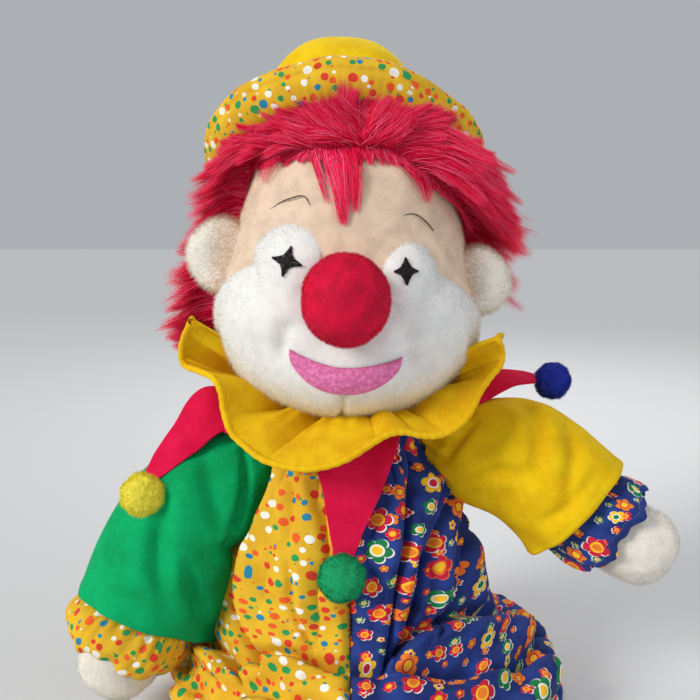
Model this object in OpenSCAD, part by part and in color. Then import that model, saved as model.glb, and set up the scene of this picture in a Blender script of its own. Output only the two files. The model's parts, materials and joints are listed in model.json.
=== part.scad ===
// Hand puppet: a plush clown with a brimmed hat, a ruffled collar with pompom points,
// two padded arms and an open gown that the hand goes up into.
// Millimetres. Z is up, the face looks along -Y, and the origin is the middle of the gown's hem.

/* [Head] */
// Half width of the head at the cheeks
head_r = 82; // [78:1:83]
// Height of the head form from chin to scalp
head_h = 192; // [186:1:196]
// Sideways lean of the head
head_roll = 4; // [0:1:6]
// Backward lean of the face
head_pitch = 9; // [4:1:10]
// Radius of the ball nose
nose_r = 24; // [18:1:28]
// Width of one padded eye patch
eye_w = 33; // [26:1:36]
// Height of the ears
ear_h = 48; // [38:1:54]
// Depth of the hair pile
hair_t = 26; // [14:1:28]

/* [Hat] */
// Outer radius of the upturned brim
brim_r = 93; // [88:1:96]
// Radius of the round crown
crown_r = 54; // [48:1:56]
// Backward tilt of the hat on the head
hat_tilt = 25; // [20:1:28]

/* [Hand] */
// Radius of the bore that takes a finger
finger_r = 13; // [10:0.5:14]
// Depth of the finger bore
finger_l = 70; // [50:1:76]

/* [Gown] */
// Radius of the hem
hem_r = 129; // [122:1:132]
// Radius of the neck edge
neck_r = 44; // [43:1:46]
// Height of the neck edge
gown_h = 190; // [186:1:191]
// Thickness of the gown's cloth as a solid wall
cloth_t = 3; // [2.5:0.5:4]

/* [Collar] */
// Outer radius of the ruffle
ruffle_r = 105; // [100:1:107]
// Number of waves round the ruffle
ruffle_waves = 9; // [6:1:12]
// Length of one jester point
point_l = 66; // [56:1:70]
// Radius of the large pompoms
pom_r = 14; // [11:1:15]

/* [Arms] */
// Length of the puppet's right sleeve, hanging straight
right_sleeve_l = 134; // [124:1:138]
// Length of the puppet's left sleeve, pushed up the arm
left_sleeve_l = 106; // [98:1:112]
// Widest radius of a sleeve
sleeve_r = 35; // [32:1:36]
// Radius of a mitt
mitt_r = 22; // [19:1:23]
// How far the right arm points below level
right_droop = 52; // [48:1:53]
// How far the left arm points below level
left_droop = 25; // [20:1:30]

/* [Hidden] */
$fn = 96;

// Places
neck = [0, 0, 200];
head_c = [-3, -18, 262];
shoulder = [61, -12, 178.5];
right_forward = 20;
left_forward = 11;

// Head form: a low wide round for the cheeks and a high one for the scalp, joined by their tangent
low_z = 1;
low_r = 56;
low_x = head_r - low_r;
high_r = 67;
high_z = head_h - low_r + low_z - high_r;
tangent_a = acos((high_r - low_r) / norm([low_x, low_z - high_z])) - atan2(high_z - low_z, low_x);
skin_t = 2.5;
cavity_r = 31;
big = 400;

// Hat section
brim_bar = 6;
brim_in = [68.5, 33];
brim_out = [brim_r - brim_bar, 47];
crown_z = 72;
crown_foot = [62, 39.5];

// Sleeve section
ball_r = 22;
armhole_gap = 1.2;
cuff_l = 30;
cuff_in_r = 29.5;
wrist_a = 22;

// Collar
ruffle_in = 46;
ruffle_in_z = 194.2;
ruffle_mid_z = 223;
ruffle_front_z = 37;
ruffle_back_z = 20;
ruffle_dip = 6;
ruffle_t = 2.4;
felt_t = 2.5;

// ---------- placing ----------
module in_head() {
    translate(head_c) rotate([-head_pitch, head_roll, 0]) children();
}

module in_hat() {
    in_head() translate([0, 0, high_z]) rotate([-hat_tilt, -head_roll, 0]) children();
}

// An arm's own frame: its axis is Z, starting at the shoulder
module in_arm(side, droop, forward) {
    turn = side > 0 ? -forward : 180 + forward;
    translate([side * shoulder[0], shoulder[1], shoulder[2]])
        rotate([0, 90 + droop, turn])
            children();
}

module in_right_arm() {
    in_arm(-1, right_droop, right_forward) children();
}

module in_left_arm() {
    in_arm(1, left_droop, left_forward) children();
}

// ---------- head ----------
// Points along an arc of radius r about [x, z], from angle a0 to a1
function arc_points(x, z, r, a0, a1, n) =
    [for (i = [0:n]) let (a = a0 + (a1 - a0) * i / n) [x + r * cos(a), z + r * sin(a)]];

// Half outline of the head, grown outward by g
function head_outline(g) = concat(
    [[0, low_z - low_r - g]],
    arc_points(low_x, low_z, low_r + g, -90, tangent_a, 11),
    arc_points(0, high_z, high_r + g, tangent_a, 90, 8));

// The head's solid form, grown outward by g
module head_form(g = 0) {
    rotate_extrude() polygon(head_outline(g));
}

module neck_cavity() {
    translate(neck) sphere(r = cavity_r);
}

module tube_space(r) {
    translate([neck[0], neck[1], neck[2] - 12]) cylinder(r = r, h = finger_l + 3);
}

// Skin of the head, one cloth thick
module head_skin() {
    difference() {
        head_form(0);
        head_form(-skin_t);
    }
}

// The half space in front of the side seams
module face_half() {
    translate([-big / 2, -big, -big / 2]) cube([big, big + 14, big]);
}

// Below the cheek seam, which dips towards the nose
module below_cheek_seam() {
    rotate([6, 0, 0]) translate([-big / 2, -big / 2, 27 - big]) cube(big);
}

module head_stuffing() {
    color("ivory") difference() {
        in_head() head_form(-skin_t);
        neck_cavity();
        tube_space(finger_r + 2.5);
    }
}

module forehead_panel() {
    color([0.89, 0.78, 0.65]) difference() {
        in_head() difference() {
            intersection() {
                head_skin();
                face_half();
            }
            below_cheek_seam();
        }
        neck_cavity();
    }
}

module muzzle_panel() {
    color([0.93, 0.93, 0.90]) difference() {
        in_head() intersection() {
            head_skin();
            face_half();
            below_cheek_seam();
        }
        neck_cavity();
    }
}

module back_head_panel() {
    color([0.89, 0.78, 0.65]) difference() {
        in_head() difference() {
            head_skin();
            face_half();
        }
        neck_cavity();
    }
}

// Eye patch form: a shallow dome standing on the head, grown by g
eye_x = 34;
eye_z = 29;
eye_dome_r = 22;
eye_dome_y = -71 + sqrt(pow(eye_dome_r, 2) - pow(eye_w / 2, 2));
module eye_dome(side, g = 0) {
    translate([side * eye_x, eye_dome_y, eye_z]) rotate([90, 0, 0]) sphere(r = eye_dome_r + g);
}

module eye_patch(side) {
    color([0.94, 0.94, 0.92]) in_head() difference() {
        eye_dome(side);
        head_form(0);
    }
}

// Four-pointed star outline with curved-in sides
module star_outline(w, h) {
    waist = 0.2;
    polygon([for (i = [0:7])
        let (a = 45 * i, k = i % 2 == 0 ? 1 : waist)
        [w / 2 * k * cos(a), h / 2 * k * sin(a)]]);
}

module eye_star(side, w, h) {
    color([0.1, 0.09, 0.1]) in_head() intersection() {
        difference() {
            eye_dome(side, 1);
            eye_dome(side, 0);
            head_form(0.2);
        }
        translate([side * eye_x, 0, eye_z]) rotate([90, 0, 0])
            linear_extrude(height = 120) star_outline(w, h);
    }
}

module brow(side) {
    brow_arc_r = 18;
    color([0.3, 0.2, 0.15]) in_head() intersection() {
        difference() {
            head_form(1.2);
            head_form(0);
        }
        translate([side * 37, 0, 46]) rotate([90, 0, 0]) linear_extrude(height = 120)
            difference() {
                circle(r = brow_arc_r + 0.8);
                circle(r = brow_arc_r - 0.8);
                translate([-big / 2, 12 - big]) square(big);
            }
    }
}

nose_c = [0, -96, 10];
module nose() {
    color([0.78, 0.05, 0.18]) in_head() difference() {
        translate(nose_c) rotate([90, 0, 0]) sphere(r = nose_r);
        head_form(0);
    }
}

module mouth() {
    mouth_lower_r = 40;
    mouth_upper_r = 62;
    color([0.86, 0.4, 0.67]) in_head() difference() {
        intersection() {
            difference() {
                head_form(2);
                head_form(0);
            }
            translate([1, 0, 0]) rotate([90, 0, 0]) linear_extrude(height = 120) difference() {
                translate([0, -4]) circle(r = mouth_lower_r);
                translate([0, 32]) circle(r = mouth_upper_r);
            }
        }
        translate(nose_c) rotate([90, 0, 0]) sphere(r = nose_r + 0.2);
    }
}

// A padded ear: the lens where two spheres meet, set in front of the side of the head
module ear_lens(side, g = 0) {
    ear_t = 15;
    lens_r = (pow(ear_h / 2, 2) + pow(ear_t / 2, 2)) / ear_t;
    translate([side * 80, -16, 33]) rotate([90, 0, side * 18]) intersection() {
        translate([0, 0, lens_r - ear_t / 2]) sphere(r = lens_r + g);
        translate([0, 0, ear_t / 2 - lens_r]) sphere(r = lens_r + g);
    }
}

module ear(side) {
    color([0.9, 0.84, 0.76]) in_head() difference() {
        ear_lens(side);
        head_form(0);
    }
}

// ---------- hair ----------
// A sector of the hair: a pile t deep on the head, between two heights and two angles about the head's axis
module hair_sector(t, z0, z1, a0, a1) {
    rotate([0, 0, a0]) rotate_extrude(angle = a1 - a0) intersection() {
        difference() {
            polygon(head_outline(t));
            polygon(head_outline(0));
        }
        translate([0, z0]) square([big, z1 - z0]);
    }
}

ear_back_a = -2;
hair_back_a = 28;
temple_a = -48;

module hair_fringe() {
    color([0.86, 0.1, 0.26]) in_head() hair_sector(hair_t / 2, 86, 116, -90 - 40, -90 + 40);
}

// Hair behind one ear and over the temple in front of it
module hair_side(side) {
    color([0.86, 0.1, 0.26]) in_head() mirror([side > 0 ? 0 : 1, 0, 0]) difference() {
        hair_sector(hair_t, 11, 79, temple_a, hair_back_a);
        rotate([0, 0, temple_a - 5])
            rotate_extrude(angle = ear_back_a - temple_a + 5)
                translate([0, -10]) square([big, 72]);
    }
}
module hair_back() {
    color([0.86, 0.1, 0.26]) in_head() hair_sector(hair_t - 6, 16, 62, hair_back_a, 180 - hair_back_a);
}

// ---------- hat ----------
// Section of the padded brim: a round-ended bar of half thickness r
module brim_section(r) {
    run = brim_out - brim_in;
    translate(brim_in) circle(r = r);
    translate(brim_out) circle(r = r);
    translate(brim_in) rotate(atan2(run[1], run[0])) translate([0, -r]) square([norm(run), 2 * r]);
}

module crown_section(inset) {
    intersection() {
        translate([0, crown_foot[1]]) square(big);
        union() {
            translate([0, crown_z]) circle(r = crown_r - inset);
            polygon([
                [0, crown_foot[1]],
                [crown_foot[0] - inset, crown_foot[1]],
                [crown_r - inset, crown_z],
                [0, crown_z]]);
        }
    }
}

module hat_crown() {
    color([0.95, 0.82, 0.1]) difference() {
        in_hat() rotate_extrude() difference() {
            crown_section(0);
            crown_section(2);
        }
        in_head() head_form(0.2);
    }
}

module hat_crown_stuffing() {
    color("ivory") difference() {
        in_hat() rotate_extrude() crown_section(2);
        in_head() head_form(0.2);
    }
}

module hat_brim() {
    color([0.96, 0.8, 0.2]) in_hat() rotate_extrude() difference() {
        brim_section(brim_bar);
        brim_section(brim_bar - 1.5);
    }
}

module hat_brim_padding() {
    color("ivory") in_hat() rotate_extrude() brim_section(brim_bar - 1.5);
}

module finger_tube() {
    color([0.93, 0.8, 0.2]) difference() {
        tube_space(finger_r + 2.5);
        translate([neck[0], neck[1], neck[2] - 12]) cylinder(r = finger_r, h = finger_l);
    }
}

// ---------- neck ----------
// A band of a hollow sphere round the neck's turning point
module neck_zone(inner_r, outer_r, half_h) {
    translate(neck) intersection() {
        difference() {
            sphere(r = outer_r);
            sphere(r = inner_r);
        }
        cube([big, big, 2 * half_h], center = true);
    }
}

module neck_lining() {
    color([0.85, 0.7, 0.15]) neck_zone(24.5, 27, 7);
}

module neck_band() {
    color([0.7, 0.1, 0.2]) neck_zone(27.5, 30, 7);
}

// ---------- gown ----------
gown_outline = [
    [hem_r, 0], [hem_r + 8, 8], [hem_r + 9, 18], [hem_r + 1, 29], [hem_r - 20, 38],
    [hem_r - 36, 49], [77, 66], [63.5, 88], [54.5, 116], [49, 150], [neck_r + 1, 178], [neck_r, gown_h]];

module gown_panel(start) {
    last = len(gown_outline) - 1;
    inner = [for (i = [last:-1:0]) gown_outline[i] - [cloth_t, 0]];
    difference() {
        rotate([0, 0, start]) rotate_extrude(angle = 90) polygon(concat(gown_outline, inner));
        for (side = [-1, 1])
            translate([side * shoulder[0], shoulder[1], shoulder[2]]) sphere(r = ball_r + armhole_gap);
    }
}

module gown_front_right() {
    color([0.95, 0.78, 0.2]) gown_panel(180);
}

module gown_front_left() {
    color([0.18, 0.3, 0.72]) gown_panel(270);
}

module gown_back_right() {
    color([0.95, 0.78, 0.2]) gown_panel(90);
}

module gown_back_left() {
    color([0.18, 0.3, 0.72]) gown_panel(0);
}

// ---------- collar ----------
// Ruffle height: low in front, high behind, waving more towards its edge.
// a is the angle from the front, towards the puppet's left, and s runs from 0 inside to 1 outside.
function ruffle_edge_z(a) = ruffle_mid_z - (cos(a) > 0 ? ruffle_front_z : ruffle_back_z) * cos(a);
function ruffle_z(a, s) = ruffle_in_z
    + (ruffle_edge_z(a) - ruffle_in_z) * s
    - ruffle_dip * pow(max(0, cos(a)), 2) * sin(180 * s)
    + 3 * s * s * sin(ruffle_waves * a);
function ruffle_point(a, s, lift) =
    let (r = ruffle_in + (ruffle_r - ruffle_in) * s)
    [r * sin(a), -r * cos(a), ruffle_z(a, s) + lift];

module ruffle() {
    steps = 96;
    spans = 3;
    row = 2 * (spans + 1);
    points = [for (i = [0:steps - 1]) let (a = 360 * i / steps) each concat(
        [for (j = [0:spans]) ruffle_point(a, j / spans, 0)],
        [for (j = [spans:-1:0]) ruffle_point(a, j / spans, ruffle_t)])];
    faces = [for (i = [0:steps - 1], j = [0:row - 1])
        let (n = (i + 1) % steps, k = (j + 1) % row)
        each [[i * row + j, i * row + k, n * row + k], [i * row + j, n * row + k, n * row + j]]];
    color([0.93, 0.78, 0.12]) polyhedron(points = points, faces = faces);
}

// A felt point lying in the XY plane: its root is along X and its tip points along +Y
module felt_point(w, l) {
    tip_w = 7;
    linear_extrude(height = felt_t)
        polygon([[-w / 2, 0], [w / 2, 0], [tip_w / 2, l], [-tip_w / 2, l]]);
}

module pompom(r, l) {
    translate([0, l + r - 0.2, felt_t / 2]) sphere(r = r);
}

// A pompom sewn on top of the tip, clear of the sleeve under it
module top_pompom(r, l) {
    translate([0, l - 5, felt_t + r - 0.1]) sphere(r = r);
}

// The front and back points hang from the neck seam, leaning out by hang_lean
hang_root = [0, -62, 186];
hang_lean = 17;
module front_point() {
    color([0.82, 0.08, 0.2]) in_front() felt_point(62, point_l);
}

module front_pompom() {
    color([0.1, 0.55, 0.35]) in_front() pompom(pom_r, point_l);
}

module in_front() {
    translate([-2, hang_root[1], hang_root[2]]) rotate([-90 - hang_lean, 0, 0]) children();
}

module in_back() {
    rotate([0, 0, 180]) translate([0, hang_root[1], hang_root[2]]) rotate([-90 - hang_lean, 0, 0]) children();
}

module back_point() {
    color([0.82, 0.08, 0.2]) in_back() felt_point(62, point_l);
}

module back_pompom() {
    color([0.9, 0.5, 0.1]) in_back() pompom(pom_r, point_l);
}

// The right point lies along the top of its sleeve
module in_right_point() {
    in_right_arm() translate([-25.5, 0, 4]) rotate([90, 0, -90]) rotate([11, 0, 0])
        children();
}

module right_point() {
    color([0.82, 0.08, 0.2]) in_right_point() felt_point(50, point_l);
}

module right_pompom() {
    color([0.88, 0.84, 0.28]) in_right_point() top_pompom(pom_r, point_l);
}

// The left point stands off the top of its sleeve, pointing out sideways
left_point_root = [80, 2, 201.5];
module in_left_point() {
    translate(left_point_root) rotate([0, -11, -3]) rotate([0, 0, -90]) children();
}

module left_point() {
    color([0.82, 0.08, 0.2]) in_left_point() felt_point(44, 46);
}

module left_pompom() {
    color([0.12, 0.16, 0.6]) in_left_point() pompom(pom_r - 2, 46);
}

// ---------- arms ----------
// Section of a padded sleeve along its axis, inset by t
module sleeve_section(l, t) {
    intersection() {
        translate([0, -6]) square([big, l + 6]);
        union() {
            circle(r = ball_r - t);
            polygon([
                [0, 0], [ball_r - t, 3], [sleeve_r - 4 - t, 0.3 * l], [sleeve_r - t, 0.55 * l],
                [sleeve_r - 1 - t, 0.8 * l], [cuff_in_r + 1 - t, l], [0, l]]);
        }
    }
}

module sleeve(l) {
    rotate_extrude() difference() {
        sleeve_section(l, 0);
        sleeve_section(l, 2.5);
    }
}

// Padding in the lower half, which leaves the upper half free for a finger
module arm_stuffing(l) {
    rotate_extrude() intersection() {
        sleeve_section(l, 2.5);
        translate([0, 0.5 * l]) square([big, 0.5 * l - 4]);
    }
}

module armhole_tape() {
    rotate_extrude() intersection() {
        difference() {
            circle(r = ball_r - 3);
            circle(r = ball_r - 5);
        }
        translate([0, -5]) square([big, 7]);
    }
}

// Gathered cuff, standing out from the end of the sleeve
module cuff(l) {
    rotate_extrude() polygon([
        [cuff_in_r, l], [cuff_in_r + 3, l], [cuff_in_r + 5, l + 14], [cuff_in_r + 3, l + cuff_l],
        [cuff_in_r, l + cuff_l]]);
}

module cuff_elastic(l) {
    translate([0, 0, l - 4]) difference() {
        cylinder(r = cuff_in_r - 2, h = 3.5);
        translate([0, 0, -1]) cylinder(r = cuff_in_r - 4, h = 6);
    }
}

module mitt_section(r) {
    intersection() {
        translate([0, -big / 2]) square(big);
        union() {
            circle(r = r);
            translate([0, 22]) circle(r = r);
            square([r, 22]);
        }
    }
}

module mitt(l) {
    translate([0, 0, l + wrist_a]) rotate_extrude() difference() {
        mitt_section(mitt_r);
        mitt_section(mitt_r - 2);
    }
}

module mitt_stuffing(l) {
    translate([0, 0, l + wrist_a]) rotate_extrude() mitt_section(mitt_r - 2);
}

module right_armhole_tape() {
    color("ivory") in_right_arm() armhole_tape();
}

module right_sleeve() {
    color([0, 0.6, 0.32]) in_right_arm() sleeve(right_sleeve_l);
}

module right_arm_stuffing() {
    color("ivory") in_right_arm() arm_stuffing(right_sleeve_l);
}

module right_cuff() {
    color([0.95, 0.78, 0.2]) in_right_arm() cuff(right_sleeve_l);
}

module right_cuff_elastic() {
    color("white") in_right_arm() cuff_elastic(right_sleeve_l);
}

module right_mitt() {
    color([0.9, 0.84, 0.76]) in_right_arm() mitt(right_sleeve_l);
}

module right_mitt_stuffing() {
    color("ivory") in_right_arm() mitt_stuffing(right_sleeve_l);
}

module left_armhole_tape() {
    color("ivory") in_left_arm() armhole_tape();
}

module left_sleeve() {
    color([0.93, 0.78, 0.12]) in_left_arm() sleeve(left_sleeve_l);
}

module left_arm_stuffing() {
    color("ivory") in_left_arm() arm_stuffing(left_sleeve_l);
}

module left_cuff() {
    color([0.18, 0.3, 0.72]) in_left_arm() cuff(left_sleeve_l);
}

module left_cuff_elastic() {
    color("white") in_left_arm() cuff_elastic(left_sleeve_l);
}

module left_mitt() {
    color([0.9, 0.84, 0.76]) in_left_arm() mitt(left_sleeve_l);
}

module left_mitt_stuffing() {
    color("ivory") in_left_arm() mitt_stuffing(left_sleeve_l);
}

head_stuffing();
forehead_panel();
muzzle_panel();
back_head_panel();
eye_patch(-1);  // right_eye_patch
eye_patch(1);  // left_eye_patch
eye_star(-1, 17, 20);  // right_eye_star
eye_star(1, 15, 17);  // left_eye_star
brow(-1);  // right_brow
brow(1);  // left_brow
nose();
mouth();
ear(-1);  // right_ear
ear(1);  // left_ear
hair_fringe();
hair_side(-1);  // hair_right
hair_side(1);  // hair_left
hair_back();
hat_crown();
hat_crown_stuffing();
hat_brim();
hat_brim_padding();
finger_tube();
neck_lining();
neck_band();
gown_front_right();
gown_front_left();
gown_back_right();
gown_back_left();
ruffle();
front_point();
front_pompom();
back_point();
back_pompom();
right_point();
right_pompom();
left_point();
left_pompom();
right_armhole_tape();
right_sleeve();
right_arm_stuffing();
right_cuff();
right_cuff_elastic();
right_mitt();
right_mitt_stuffing();
left_armhole_tape();
left_sleeve();
left_arm_stuffing();
left_cuff();
left_cuff_elastic();
left_mitt();
left_mitt_stuffing();
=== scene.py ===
import json
import math

import bpy
import numpy as np
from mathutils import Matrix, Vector

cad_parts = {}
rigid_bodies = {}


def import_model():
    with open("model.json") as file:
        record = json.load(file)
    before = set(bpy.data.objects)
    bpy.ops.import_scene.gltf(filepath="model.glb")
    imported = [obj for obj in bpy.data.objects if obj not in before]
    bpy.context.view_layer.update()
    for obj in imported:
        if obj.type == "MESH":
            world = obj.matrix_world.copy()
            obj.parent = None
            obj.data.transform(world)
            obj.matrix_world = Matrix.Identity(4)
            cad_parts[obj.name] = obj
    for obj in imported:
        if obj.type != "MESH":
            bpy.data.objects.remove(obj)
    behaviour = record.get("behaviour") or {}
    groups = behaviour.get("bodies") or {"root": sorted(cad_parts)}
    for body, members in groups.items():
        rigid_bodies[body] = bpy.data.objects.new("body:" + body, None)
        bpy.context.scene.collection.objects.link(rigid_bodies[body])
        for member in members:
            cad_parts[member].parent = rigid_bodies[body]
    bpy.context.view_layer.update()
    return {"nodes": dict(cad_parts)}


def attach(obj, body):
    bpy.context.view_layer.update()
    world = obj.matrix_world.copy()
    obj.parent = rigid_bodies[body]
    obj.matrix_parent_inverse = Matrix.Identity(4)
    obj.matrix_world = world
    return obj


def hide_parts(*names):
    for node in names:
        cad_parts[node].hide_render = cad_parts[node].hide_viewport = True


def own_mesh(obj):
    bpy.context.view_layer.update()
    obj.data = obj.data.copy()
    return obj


for extra in list(bpy.data.objects):
    bpy.data.objects.remove(extra)
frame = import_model()
MM = 0.001

# ---- camera, light
CAMERA = (0, -0.6697, 0.3561)
AIM = (0, 0, 0.238)
TILT = math.radians(10)  # how far down the camera looks from CAMERA to AIM
scene = bpy.context.scene


def look(obj, place, target):
    """Put obj at place with its -z axis towards target."""
    obj.location = place
    d = Vector(target) - Vector(place)
    obj.rotation_euler = d.to_track_quat("-Z", "Y").to_euler()


cam_data = bpy.data.cameras.new("camera")
cam = bpy.data.objects.new("camera", cam_data)
scene.collection.objects.link(cam)
cam_data.sensor_width = 36
cam_data.lens = 52.46
cam_data.clip_start = 0.01
look(cam, CAMERA, AIM)
scene.camera = cam


def light(name, kind, place, energy, size, colour):
    """A sun, with size its angle, or a round area light, with size its diameter."""
    data = bpy.data.lights.new(name, kind)
    data.energy = energy
    data.color = colour
    if kind == "SUN":
        data.angle = size
    else:
        data.shape = "DISK"
        data.size = size
    o = bpy.data.objects.new(name, data)
    scene.collection.objects.link(o)
    look(o, place, (0, 0, 0.22))


light("key", "SUN", (-1.0, -0.74, 0.88), 2.15, 0.40, (1.0, 0.985, 0.95))
light("fill", "AREA", (1.0, -0.7, 0.55), 2.5, 0.9, (0.94, 0.97, 1.0))
light("back", "AREA", (0.25, 1.0, 1.0), 6, 0.8, (1, 1, 1))
scene.view_settings.view_transform = "Standard"
world = bpy.data.worlds.new("world")
scene.world = world
world.use_nodes = True
background = world.node_tree.nodes["Background"]
background.inputs["Color"].default_value = (0.80, 0.83, 0.87, 1)
background.inputs["Strength"].default_value = 0.52


# ---- numbers
def lerp(a, b, t):
    return a + (b - a) * t


def ease(t):
    """Smooth step from 0 to 1 as t goes from 0 to 1."""
    t = np.clip(t, 0, 1)
    return t * t * (3 - 2 * t)


def bell(d, w):
    """A bump of height 1 at d = 0, about w wide to each side."""
    return np.exp(-((d / w) ** 2))


def unit(v):
    v = np.asarray(v, float)
    return v / np.maximum(np.linalg.norm(v, axis=-1, keepdims=True), 1e-9)


def rot(axis, degrees):
    """Rotation matrix about the axis x, y or z."""
    c, si = math.cos(math.radians(degrees)), math.sin(math.radians(degrees))
    k = "xyz".index(axis)
    i, j = (k + 1) % 3, (k + 2) % 3
    m = np.eye(3)
    m[i, i] = m[j, j] = c
    m[i, j], m[j, i] = -si, si
    return m


def lattice(p, seed):
    """Smooth value noise from -1 to 1 at points p (..., 3)."""
    p = np.asarray(p, float)
    i = np.floor(p).astype(np.int64)
    f = p - i
    f = f * f * (3 - 2 * f)
    total = 0
    for dx in (0, 1):
        for dy in (0, 1):
            for dz in (0, 1):
                # the corner's own number, from an integer hash of its place and the seed
                h = (i[..., 0] + dx) * 73856093 ^ (i[..., 1] + dy) * 19349663
                h = h ^ (i[..., 2] + dz) * 83492791 ^ seed * 2654435761
                h = (h ^ (h >> 13)) * 1274126177 & 0xFFFFFFFF
                h = ((h ^ (h >> 16)) & 0xFFFF) / 32767.5 - 1
                w = (f[..., 0] if dx else 1 - f[..., 0]) * (f[..., 1] if dy else 1 - f[..., 1])
                total = total + h * w * (f[..., 2] if dz else 1 - f[..., 2])
    return total


def noise(p, size, seed=1, octaves=2):
    """Layered noise with features about size across."""
    p = np.asarray(p, float) / size
    total, gain = 0, 1.0
    for k in range(octaves):
        total = total + gain * lattice(p * 2**k + 17.3 * k, seed + 31 * k)
        gain *= 0.5
    return total


def noise3(p, size, *seeds):
    """A vector of three noises."""
    return pts(*(noise(p, size, k) for k in seeds))


def pts(*columns):
    """Points or vectors from their coordinates, broadcast together."""
    return np.stack(np.broadcast_arrays(*[np.asarray(c, float) for c in columns]), -1)


def spline(points, t):
    """Smooth curve through points (n, d), sampled at t from 0 to 1."""
    q = np.asarray(points, float)
    n = len(q) - 1
    x = np.clip(np.asarray(t, float), 0, 1) * n
    k = np.minimum(x.astype(int), n - 1)
    f = (x - k)[..., None]
    a, b, c, d = (q[np.clip(k + j, 0, n)] for j in (-1, 0, 1, 2))
    return 0.5 * (2 * b + (c - a) * f + (2 * a - 5 * b + 4 * c - d) * f**2
                  + (3 * b - a - 3 * c + d) * f**3)


def curve(xs, ys, t):
    """Smooth y over uneven x, by monotone cubic steps."""
    xs, ys = np.asarray(xs, float), np.asarray(ys, float)
    slope = np.diff(ys) / np.diff(xs)
    m = np.concatenate([[slope[0]], (slope[1:] + slope[:-1]) / 2, [slope[-1]]])
    flat = np.concatenate([[False], slope[1:] * slope[:-1] <= 0, [False]])
    m[flat] = 0
    t = np.clip(t, xs[0], xs[-1])
    k = np.clip(np.searchsorted(xs, t, side="right") - 1, 0, len(xs) - 2)
    h = xs[k + 1] - xs[k]
    f = (t - xs[k]) / h
    return ((2 * f**3 - 3 * f**2 + 1) * ys[k] + (f**3 - 2 * f**2 + f) * h * m[k]
            + (3 * f**2 - 2 * f**3) * ys[k + 1] + (f**3 - f**2) * h * m[k + 1])


def pleat(x):
    """Round folds with narrow valleys between, from -1 to 1."""
    return 2 * np.abs(np.sin(x / 2)) ** 0.75 - 1


def circle(n):
    """n angles round a full turn."""
    return np.linspace(0, 2 * math.pi, n, endpoint=False)


def outwards(N, away):
    """Normals N turned to the side that away points to."""
    return N * np.sign((N * away).sum(-1, keepdims=True))


# ---- meshes
def build(name, verts, faces, uv=None, normals=None, shade=None):
    """A smooth mesh object from millimetre points; uv has one row per loop, shade a material per face."""
    count, corners = faces.shape
    me = bpy.data.meshes.new(name)
    me.vertices.add(len(verts))
    me.vertices.foreach_set("co", (verts * MM).astype(np.float32).ravel())
    me.loops.add(count * corners)
    me.loops.foreach_set("vertex_index", faces.astype(np.int32).ravel())
    me.polygons.add(count)
    me.polygons.foreach_set("loop_start", np.arange(count, dtype=np.int32) * corners)
    if shade is not None:
        me.polygons.foreach_set("material_index", shade.astype(np.int32))
    me.update(calc_edges=True)
    me.polygons.foreach_set("use_smooth", np.full(count, True))
    if uv is not None:
        me.uv_layers.new(name="cloth").data.foreach_set("uv", (uv * MM).astype(np.float32).ravel())
    if normals is not None:
        me.normals_split_custom_set_from_vertices(unit(normals).tolist())
    me.update()
    o = bpy.data.objects.new(name, me)
    scene.collection.objects.link(o)
    return o


def sheet_faces(m, n, wrap=False):
    """Quads of an m by n grid of points; with wrap the last column meets the first."""
    i, j = np.meshgrid(np.arange(m - 1), np.arange(n if wrap else n - 1), indexing="ij")
    k = (j + 1) % n
    return np.stack([i * n + j, i * n + k, (i + 1) * n + k, (i + 1) * n + j], -1).reshape(-1, 4)


def surface(name, P, uv=None, wrap=False):
    """A grid surface from P (m, n, 3); with wrap its columns close, and uv has one more column."""
    m, n = P.shape[:2]
    faces = sheet_faces(m, n, wrap)
    flat = None
    if uv is not None:
        if wrap:
            i, j = np.meshgrid(np.arange(m - 1), np.arange(n), indexing="ij")
            at = [uv[i, j], uv[i, j + 1], uv[i + 1, j + 1], uv[i + 1, j]]
            flat = np.stack(at, 2).reshape(-1, 2)
        else:
            flat = uv.reshape(-1, 2)[faces.ravel()]
    return build(name, P.reshape(-1, 3), faces, flat)


def grid_normals(P, wrap=False):
    """Unit normals of a grid, to one side of it."""
    if wrap:
        du = np.roll(P, -1, 1) - np.roll(P, 1, 1)
    else:
        du = np.gradient(P, axis=1)
    return unit(np.cross(du, np.gradient(P, axis=0)))


def scatter(P, count, rng, outward, wrap=False, keep=None):
    """Random points on a grid surface, even by area, and normals turned away from the point outward."""
    if wrap:
        P = np.concatenate([P, P[:, :1]], 1)
    a, b, c, d = P[:-1, :-1], P[:-1, 1:], P[1:, 1:], P[1:, :-1]
    area = np.linalg.norm(np.cross(c - a, d - b), axis=-1).ravel() / 2
    if keep is not None:
        area = area * keep((a + c) / 2).ravel()
    pick = rng.choice(len(area), count, p=area / area.sum())
    u, v = rng.random((2, count, 1))
    A, B, C, D = (x.reshape(-1, 3)[pick] for x in (a, b, c, d))
    p = (A * (1 - u) + B * u) * (1 - v) + (D * (1 - u) + C * u) * v
    return p, outwards(unit(np.cross(C - A, D - B)), p - outward)


def solid(o, thick, offset):
    """Cloth thickness: offset -1 puts it inside the surface, 1 outside, 0 to both sides."""
    m = o.modifiers.new("thickness", "SOLIDIFY")
    m.thickness = thick * MM
    m.offset = offset
    m.use_rim = True


def finer(o):
    """One level of subdivision."""
    m = o.modifiers.new("smooth", "SUBSURF")
    m.levels = m.render_levels = 1
    return o


def give(o, mats, slot, body, *nodes):
    """Materials, the body that the piece rides, its slot, which is not used, and the CAD nodes that it
    replaces.
    """
    for m in mats if isinstance(mats, (list, tuple)) else [mats]:
        o.data.materials.append(m)
    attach(o, body)
    if nodes:
        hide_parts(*nodes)
    return o


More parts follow.
